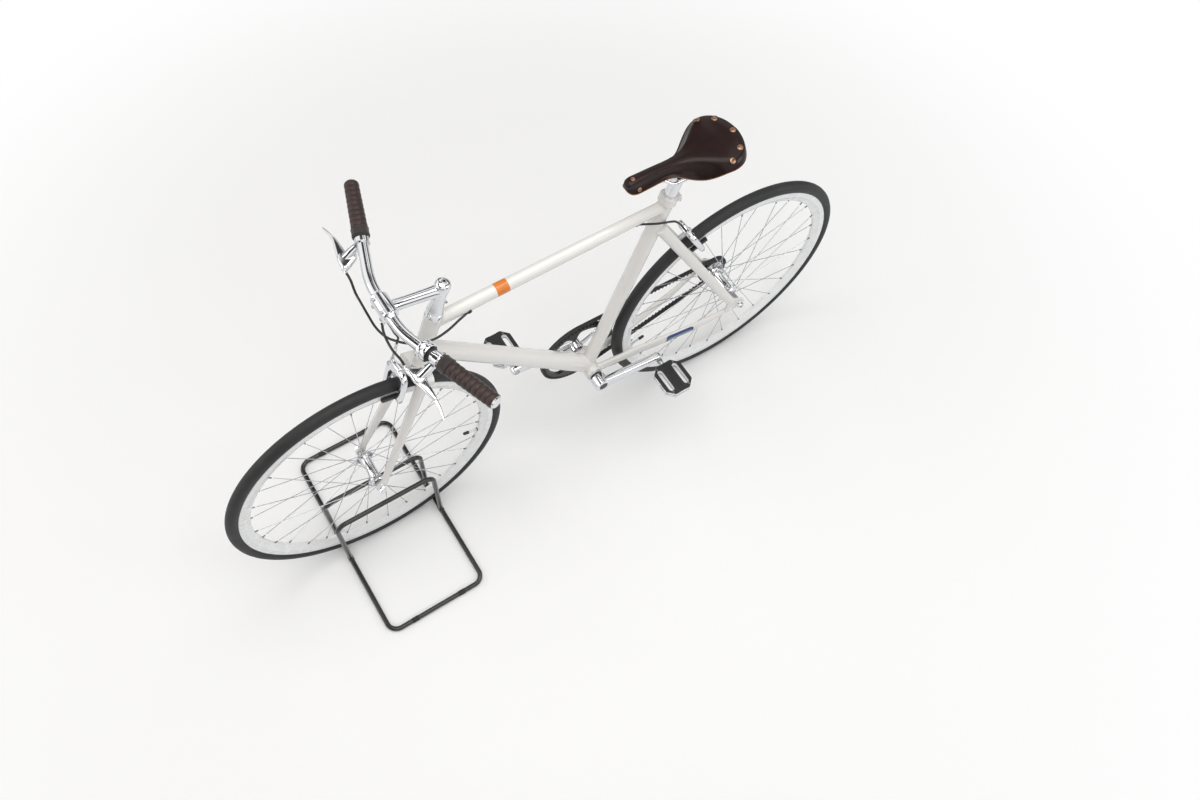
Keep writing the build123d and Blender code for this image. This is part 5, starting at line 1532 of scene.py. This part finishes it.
# ---------------------------------------------------------------- frame details
def fillet(piece, origin, direction, radius, big_origin, big_axis, big_radius, size):
    """A smooth concave weld where a tube runs into the side of a larger one."""
    across, along = square_to(direction)

    def off_axis(point):
        """The part of a point's distance from the larger tube that is square to its axis."""
        gap = point - big_origin
        return gap - big_axis * gap.dot(big_axis)

    run = direction - big_axis * direction.dot(big_axis)
    rings = []
    for turn in turns(72):
        out = across * cos(turn) + along * sin(turn)
        point = origin + out * radius
        flat = off_axis(point)
        a = run.dot(run)
        b = 2 * flat.dot(run)
        c = flat.dot(flat) - big_radius ** 2
        inside = max(0.0, b * b - 4 * a * c)
        hit = point + direction * ((-b + sqrt(inside)) / (2 * a))
        normal = off_axis(hit).normalized()
        surface = out - normal * out.dot(normal)
        if surface.length < 0.05:
            surface = out.copy()
        surface.normalize()
        first = hit + direction * size - out * 0.25
        last = hit + surface * size
        flat = off_axis(last)
        last = last - flat.normalized() * (flat.length - big_radius + 0.25)
        rings.append([first * (1 - t) ** 2 + hit * 2 * t * (1 - t) + last * t * t
                      for t in (k / 8 for k in range(9))])
    piece.rings(rings, "cream_paint", closed=False, loop=True, caps=False)


def build_frame_joints():
    """Filled and smoothed welds between the frame's tubes."""
    welds = Piece("frame_welds")
    down_low = Vector((-87.0, 0, 295.9))
    down_high = Vector((317.4, 0, 724.5))
    along_down = (down_high - down_low).normalized()
    head = (HEAD_FOOT, ALONG_HEAD, HEAD_RADIUS)
    shell = (BRACKET, SIDE, SHELL_RADIUS)
    fillet(welds, TOP_FRONT, -ALONG_TOP, 14.6, *head, 7)
    fillet(welds, TOP_REAR, ALONG_TOP, 12.9, SEAT_LOW, ALONG_SEAT, SEAT_RADIUS, 6)
    fillet(welds, down_high, -along_down, 19.5, *head, 9)
    fillet(welds, SEAT_LOW, ALONG_SEAT, SEAT_RADIUS, *shell, 6)
    fillet(welds, down_low, along_down, 23.3, *shell, 5)
    for up in (384.4, 524.6):
        welds.turned(on_head(up), ALONG_HEAD, mirrored([
            (1.4, HEAD_RADIUS - 0.3), (0.8, HEAD_RADIUS + 0.7)]), "cream_paint", 72)
    welds.make("frame", sharp=50)


CHAINSTAY_STATIONS = [  # x, offset, z, half height, half width
    (-106, 20.5, 285.0, 14.0, 8.0), (-205, 31.0, 291.5, 16.0, 7.2), (-300, 44.5, 298.0, 15.5, 7.0),
    (-385, 56.8, 307.0, 13.0, 6.4), (-440, 65.0, 321.0, 9.5, 6.0)]


def on_chainstay(x, turn, out):
    """A point on the left chainstay's skin, or a little out of it."""
    for a, b in zip(CHAINSTAY_STATIONS, CHAINSTAY_STATIONS[1:]):
        if a[0] >= x >= b[0]:
            part = (x - a[0]) / (b[0] - a[0])
            y, z, tall, wide = (p + (q - p) * part for p, q in zip(a[1:], b[1:]))
            return Vector((x, y + (wide + out) * cos(turn), z + (tall + out) * sin(turn)))
    raise ValueError("the place is off the chainstay")


def stay_patch(piece, reach, angles, out, finish_name):
    """A thin label with trimmed corners that follows the left chainstay's skin."""
    steps = 24
    rings = []
    for n in range(steps + 1):
        x = reach[0] + (reach[1] - reach[0]) * n / steps
        trim = {0: 0.16, 1: 0.06}.get(min(n, steps - n), 0.0)
        sweep = [radians(angles[0] + (angles[1] - angles[0]) * (trim + (1 - 2 * trim) * k / 10))
                 for k in range(11)]
        rings.append([on_chainstay(x, t, out) for t in sweep]
                     + [on_chainstay(x, t, -0.4) for t in sweep[::-1]])
    piece.rings(rings, finish_name)


def build_frame_details():
    """The painted band, blank label, collar bolt and bearing seams."""
    parts = Piece("frame_fittings")
    length = (TOP_FRONT - TOP_REAR).length
    band = [(at, 12.8 + 1.9 * at / length + 0.14) for at in (381.0, 409.0)]
    parts.turned(TOP_REAR, ALONG_TOP, [(band[0][0], band[0][1] - 0.2), *band,
                                       (band[1][0], band[1][1] - 0.2)], "orange_band", 72)
    collar = SEAT_HIGH + ALONG_SEAT * -1.5
    for tall in (-7.6, 7.6):
        parts.turned(collar, ALONG_SEAT, [(tall - 0.8, 20.2), (tall - 0.4, 20.8),
                                          (tall + 0.4, 20.8), (tall + 0.8, 20.2)],
                     "cream_paint", 72)
    ear = collar + ALONG_SEAT.cross(SIDE).normalized() * 24.5
    parts.capped(ear, SIDE, [(-12.4, 3.4), (-12, 4.4), (-9.5, 4.4), (-9.4, 5.4), (9.4, 5.4),
                             (9.5, 4.4), (12.0, 4.4), (12.4, 3.8)], "polished_alloy", 32)
    # the ear bolt's socket and the slit round its middle are painted shade
    parts.turned(ear, SIDE, [(12.45, 2.3), (10.0, 2.3), (10.0, POLE)], "painted_shade_black", 6)
    parts.turned(ear, SIDE, mirrored([(0.8, 5.45), (0.8, 5.6)]), "painted_shade_black", 32)
    for up in (528.2, 380.0):
        parts.turned(on_head(up), ALONG_HEAD, mirrored([(0.5, 17.3), (0.25, 17.65)]),
                     "brushed_alloy", 72)
    for side in SIDES:
        parts.turned(BRACKET, SIDE * side, [(34.2, 20.2), (34.5, 20.5), (35.2, 20.5),
                                            (35.5, 20.0), (35.5, 19.1)], "brushed_alloy", 64)
        parts.ribs(BRACKET + SIDE * side * 36.4, FORWARD, UP, 16, 19.1, (1.6, 3.2, 2.6),
                   "brushed_alloy", 0.4)
        parts.turned(BRACKET, SIDE * side, [(38.0, 9), (38.3, 9.6), (38.3, 15.2), (38.0, 16)],
                     "black_plastic", 56)
    stay_patch(parts, (-296, -371), (-80, 58), 0.22, "label_blue")
    stay_patch(parts, (-300, -367), (-72, 14), 0.4, "label_grey")
    # a small dark patch on the chainstay by the bracket, in the same near-black
    stay_patch(parts, (-138, -170), (-72, -24), 0.25, "painted_shade_black")
    parts.make("frame")


# ---------------------------------------------------------------- floor stand
def build_stand_details():
    """Weld beads and soft sleeves of the wire stand."""
    parts = Piece("stand_joints")
    wire = 6
    floor_low, floor_high = low("stand_floor_frame"), high("stand_floor_frame")
    for x in (floor_low.x + wire, floor_high.x - wire):
        for side in SIDES:
            centre = Vector((x, side * 38, wire))
            for n in (-1, 1):
                bead = [centre + Vector((6.6 * cos(pi * k / 11) * 0.9, n * 5.6,
                                         6.4 * sin(pi * k / 11))) for k in range(12)]
                parts.tube(bead, 1.5, "stand_black", 10)
            parts.ball(centre + UP * 2.2, 7.4, "stand_black", 24, squash=0.9)
    for x in (floor_low.x + 70, floor_high.x - 70):
        for side in SIDES:
            parts.turned((x, side * (floor_high.y - wire), wire), FORWARD,
                         mirrored([(9, 6.05), (8.6, 6.5)]), "rubber", 32)
    parts.make("front_end", sharp=45)


# ---------------------------------------------------------------- the stage
WHITE = (1.0, 1.0, 1.0, 1.0)
FLOOR_REACH = 9.0
FADE_START, FADE_END = 0.9, 2.2  # metres from the origin
LAMPS = (  # name, place, size, watts, colour
    ("ceiling_light", (0.2, 0.3, 3.4), 2.6, 52, (1.0, 0.985, 0.96)),
    ("window_light", (-2.6, 2.4, 2.2), 1.8, 26, (0.95, 0.98, 1.0)),
    ("fill_light", (2.8, -1.2, 1.9), 1.6, 12, (1.0, 0.97, 0.94)))
LAMP_AIM = Vector((0, 0, 0.4))
CAMERA_PLACE = (0.6549, 1.0069, 2.4881)
CAMERA_AZIMUTH, CAMERA_FALL, CAMERA_ROLL = radians(38.413), radians(62.311), radians(6.367)
CAMERA_LENS = 30.30
CAMERA_SENSOR = 36.0


def build_floor(colour):
    """A pale floor that fades to white away from the bicycle."""
    mesh = bpy.data.meshes.new("pale_floor")
    mesh.from_pydata([(-FLOOR_REACH, -FLOOR_REACH, 0), (FLOOR_REACH, -FLOOR_REACH, 0),
                      (FLOOR_REACH, FLOOR_REACH, 0), (-FLOOR_REACH, FLOOR_REACH, 0)], [],
                     [(0, 1, 2, 3)])
    link_new("pale_floor", mesh)
    material, tree, surface, base = painted("pale_floor", colour, scaled(colour, 0.985), 0.5, 2.0)
    camera_ray = add(tree, "ShaderNodeLightPath").outputs["Is Camera Ray"]
    feed(tree, surface, {"Base Color": mix(tree, camera_ray, base, WHITE), "Roughness": 0.85,
                         "Specular IOR Level": 0.1})
    where = add(tree, "ShaderNodeNewGeometry").outputs["Position"]
    out = add(tree, "ShaderNodeVectorMath", {0: where}, operation="LENGTH").outputs["Value"]
    far = add(tree, "ShaderNodeMapRange", {"Value": out, "From Min": FADE_START,
                                           "From Max": FADE_END},
              interpolation_type="SMOOTHSTEP").outputs["Result"]
    plain = add(tree, "ShaderNodeEmission", {"Color": WHITE, "Strength": 1.0})
    both = add(tree, "ShaderNodeMixShader", {
        0: calc(tree, "MULTIPLY", far, camera_ray), 1: surface.outputs["BSDF"],
        2: plain.outputs["Emission"]})
    feed(tree, tree.nodes["Material Output"], {"Surface": both.outputs["Shader"]})
    mesh.materials.append(material)


def build_world(strength):
    """Even light all round, soft panels for mirrors, and a white backdrop."""
    world = bpy.context.scene.world = bpy.data.worlds.new("soft_room")
    world.use_nodes = True
    room = world.node_tree
    place = add(room, "ShaderNodeTexCoord").outputs["Generated"]
    parts = add(room, "ShaderNodeSeparateXYZ", {"Vector": place})
    height = add(room, "ShaderNodeMapRange", {"Value": parts.outputs["Z"], "From Min": -1.0,
                                              "From Max": 1.0})
    walls = ramp(room, height.outputs["Result"], [
        (0.0, 0.5), (0.46, 0.42), (0.52, 0.1), (0.62, 0.16), (0.72, 0.8), (1.0, 1.0)])
    patches = noise(room, place, 1.7, 1.0)
    soft = ramp(room, patches, [(0.42, 0.3), (0.54, 1.0)])
    panels = ramp(room, patches, [(0.44, 0.04), (0.48, 1.0)])
    lit = mix(room, 1.0, walls, soft, blend_type="MULTIPLY")
    seen = add(room, "ShaderNodeLightPath").outputs
    mirror_ray = calc(room, "MAXIMUM", seen["Is Glossy Ray"], seen["Is Transmission Ray"])
    reflected = mix(room, mirror_ray, lit, panels)
    feed(room, room.nodes["Background"], {
        "Color": mix(room, seen["Is Camera Ray"], reflected, WHITE), "Strength": strength})


def build_stage(looks):
    """A pale floor, soft studio light and the camera."""
    build_floor(shade(looks.floor_colour))
    build_world(looks.room_light)
    for name, place, size, watts, colour in LAMPS:
        lamp = bpy.data.lights.new(name, "AREA")
        lamp.size, lamp.energy, lamp.color = size, watts, colour
        holder = link_new(name, lamp)
        holder.location = place
        holder.rotation_euler = (LAMP_AIM - Vector(place)).to_track_quat("-Z", "Y").to_euler()

    view = Vector((-sin(CAMERA_AZIMUTH) * cos(CAMERA_FALL),
                   -cos(CAMERA_AZIMUTH) * cos(CAMERA_FALL), -sin(CAMERA_FALL)))
    level = view.cross(UP).normalized()
    above = level.cross(view)
    right = level * cos(CAMERA_ROLL) + above * sin(CAMERA_ROLL)
    up = above * cos(CAMERA_ROLL) - level * sin(CAMERA_ROLL)
    lens = bpy.data.cameras.new("main_camera")
    lens.lens, lens.sensor_width = CAMERA_LENS, CAMERA_SENSOR
    camera = link_new("main_camera", lens)
    camera.matrix_world = Matrix([*zip(right, up, -view, CAMERA_PLACE), (0, 0, 0, 1)])
    bpy.context.scene.camera = camera
    bpy.context.scene.view_settings.view_transform = "Standard"


# ---------------------------------------------------------------- add-on
def colour_property(name, description, default):
    return FloatVectorProperty(name=name, description=description, subtype="COLOR", size=3,
                               min=0, max=1, default=default)


class BicycleLooks(bpy.types.PropertyGroup):
    """Colours and light of the bicycle and its surroundings."""
    frame_colour: colour_property("Frame colour", "Main paint of the frame and fork",
                                  (0.87, 0.845, 0.812))
    band_colour: colour_property("Band colour", "Painted band on the top tube",
                                 (0.78, 0.22, 0.02))
    saddle_colour: colour_property("Saddle colour", "Leather of the saddle top",
                                   (0.017, 0.0055, 0.0042))
    grip_colour: colour_property("Grip colour", "Leather of the grips", (0.026, 0.0105, 0.008))
    floor_colour: colour_property("Floor colour", "The pale floor", (0.86, 0.87, 0.88))
    room_light: FloatProperty(
        name="Room light", description="Strength of the even light all round", min=0, max=3,
        default=1.0)


class BuildOperator:
    """What every operator here shares: it runs its builders and reports a failure plainly."""
    bl_options = {"REGISTER"}
    adds_nothing = False

    def execute(self, context):
        made = len(bpy.data.objects)
        self.build(context.scene.bicycle_looks)
        if not self.adds_nothing and len(bpy.data.objects) <= made:
            raise RuntimeError(f"{self.bl_label} made no piece")
        return {"FINISHED"}


class BICYCLE_OT_finishes(BuildOperator, bpy.types.Operator):
    """Make every finish and give the frame's own parts theirs."""
    bl_idname = "bicycle.finishes"
    bl_label = "Finishes"
    adds_nothing = True

    def build(self, looks):
        make_finishes(looks)


class BICYCLE_OT_stage(BuildOperator, bpy.types.Operator):
    """Set up the floor, the light and the camera."""
    bl_idname = "bicycle.stage"
    bl_label = "Stage"

    def build(self, looks):
        build_stage(looks)


class BICYCLE_OT_wheels(BuildOperator, bpy.types.Operator):
    """Build both wheels: tyres, rims, spokes, hubs and axle ends."""
    bl_idname = "bicycle.wheels"
    bl_label = "Wheels"

    def build(self, looks):
        build_tyre("front", FRONT_AXLE)
        build_tyre("rear", REAR_AXLE)
        build_rim("front", FRONT_AXLE, radians(197))
        build_rim("rear", REAR_AXLE, radians(-14.2))
        build_spokes("front", FRONT_AXLE, FRONT_HOLES, FRONT_FLANGES)
        build_spokes("rear", REAR_AXLE, REAR_HOLES, REAR_FLANGES)
        build_front_hub()
        build_rear_hub()
        build_axle("front", FRONT_AXLE, "front_end", ((37.8, 50), (37.8, 50)), 56, 65)
        build_axle("rear", REAR_AXLE, "frame", ((37.3, 67), (53.8, 67)), 73, 86)


class BICYCLE_OT_saddle(BuildOperator, bpy.types.Operator):
    """Build the leather saddle, its rivets and its rails."""
    bl_idname = "bicycle.saddle"
    bl_label = "Saddle"

    def build(self, looks):
        build_saddle()
        build_rivets()
        build_saddle_frame()


class BICYCLE_OT_cockpit(BuildOperator, bpy.types.Operator):
    """Build the grips, brake levers, bell and stem bolts."""
    bl_idname = "bicycle.cockpit"
    bl_label = "Handlebar pieces"

    def build(self, looks):
        for build_one in (build_grip, build_lever):
            build_one(LEFT, "left")
            build_one(RIGHT, "right")
        build_bell()
        build_stem()
        build_cockpit_details()


class BICYCLE_OT_brakes(BuildOperator, bpy.types.Operator):
    """Build both rim brakes and their pads."""
    bl_idname = "bicycle.brakes"
    bl_label = "Brakes"

    def build(self, looks):
        build_caliper("front", FRONT_CALIPER, AHEAD, ALONG_HEAD, FRONT_AXLE, FRONT_ADJUSTER,
                      FRONT_ADJUSTER_TOP, "front_end")
        build_caliper("rear", REAR_CALIPER, STAY_BACK, STAY_DIRECTION, REAR_AXLE, REAR_ADJUSTER,
                      REAR_ADJUSTER_TOP, "frame")


class BICYCLE_OT_cables(BuildOperator, bpy.types.Operator):
    """Build the brake cables with their caps and adjusters."""
    bl_idname = "bicycle.cables"
    bl_label = "Cables"

    def build(self, looks):
        build_front_cable()
        build_loop_cable()
        build_rear_cable()


class BICYCLE_OT_drive(BuildOperator, bpy.types.Operator):
    """Build the belt, both toothed rings, the cranks and the pedals."""
    bl_idname = "bicycle.drive"
    bl_label = "Drive"

    def build(self, looks):
        build_belt()
        build_front_sprocket()
        build_rear_sprocket()
        build_crank(LEFT, "left", LEFT_CRANK_END, 53.5, 73.5)
        build_crank(RIGHT, "right", RIGHT_CRANK_END, 59.5, 78.5)
        build_pedal(LEFT, "left", LEFT_CRANK_END)
        build_pedal(RIGHT, "right", RIGHT_CRANK_END)


class BICYCLE_OT_frame_details(BuildOperator, bpy.types.Operator):
    """Build the welds, the painted band, the bolts and the stand's joints."""
    bl_idname = "bicycle.frame_details"
    bl_label = "Frame details"

    def build(self, looks):
        build_frame_joints()
        build_frame_details()
        build_stand_details()


OPERATORS = (BICYCLE_OT_finishes, BICYCLE_OT_stage, BICYCLE_OT_wheels, BICYCLE_OT_saddle,
             BICYCLE_OT_cockpit, BICYCLE_OT_brakes, BICYCLE_OT_cables, BICYCLE_OT_drive,
             BICYCLE_OT_frame_details)


class BICYCLE_PT_panel(bpy.types.Panel):
    """Lists the colours and the builders."""
    bl_idname = "BICYCLE_PT_panel"
    bl_label = "Bicycle"
    bl_space_type = "VIEW_3D"
    bl_region_type = "UI"
    bl_category = "Bicycle"

    def draw(self, context):
        looks = context.scene.bicycle_looks
        for name in ("frame_colour", "band_colour", "saddle_colour", "grip_colour",
                     "floor_colour", "room_light"):
            self.layout.prop(looks, name)
        for operator in OPERATORS:
            self.layout.operator(operator.bl_idname)


CLASSES = (BicycleLooks, *OPERATORS, BICYCLE_PT_panel)


def register():
    for item in CLASSES:
        bpy.utils.register_class(item)
    bpy.types.Scene.bicycle_looks = PointerProperty(type=BicycleLooks)


def unregister():
    del bpy.types.Scene.bicycle_looks
    for item in reversed(CLASSES):
        bpy.utils.unregister_class(item)


def main():
    register()
    for operator in OPERATORS:
        group, name = operator.bl_idname.split(".")
        getattr(getattr(bpy.ops, group), name)()


if __name__ == "__main__":
    main()
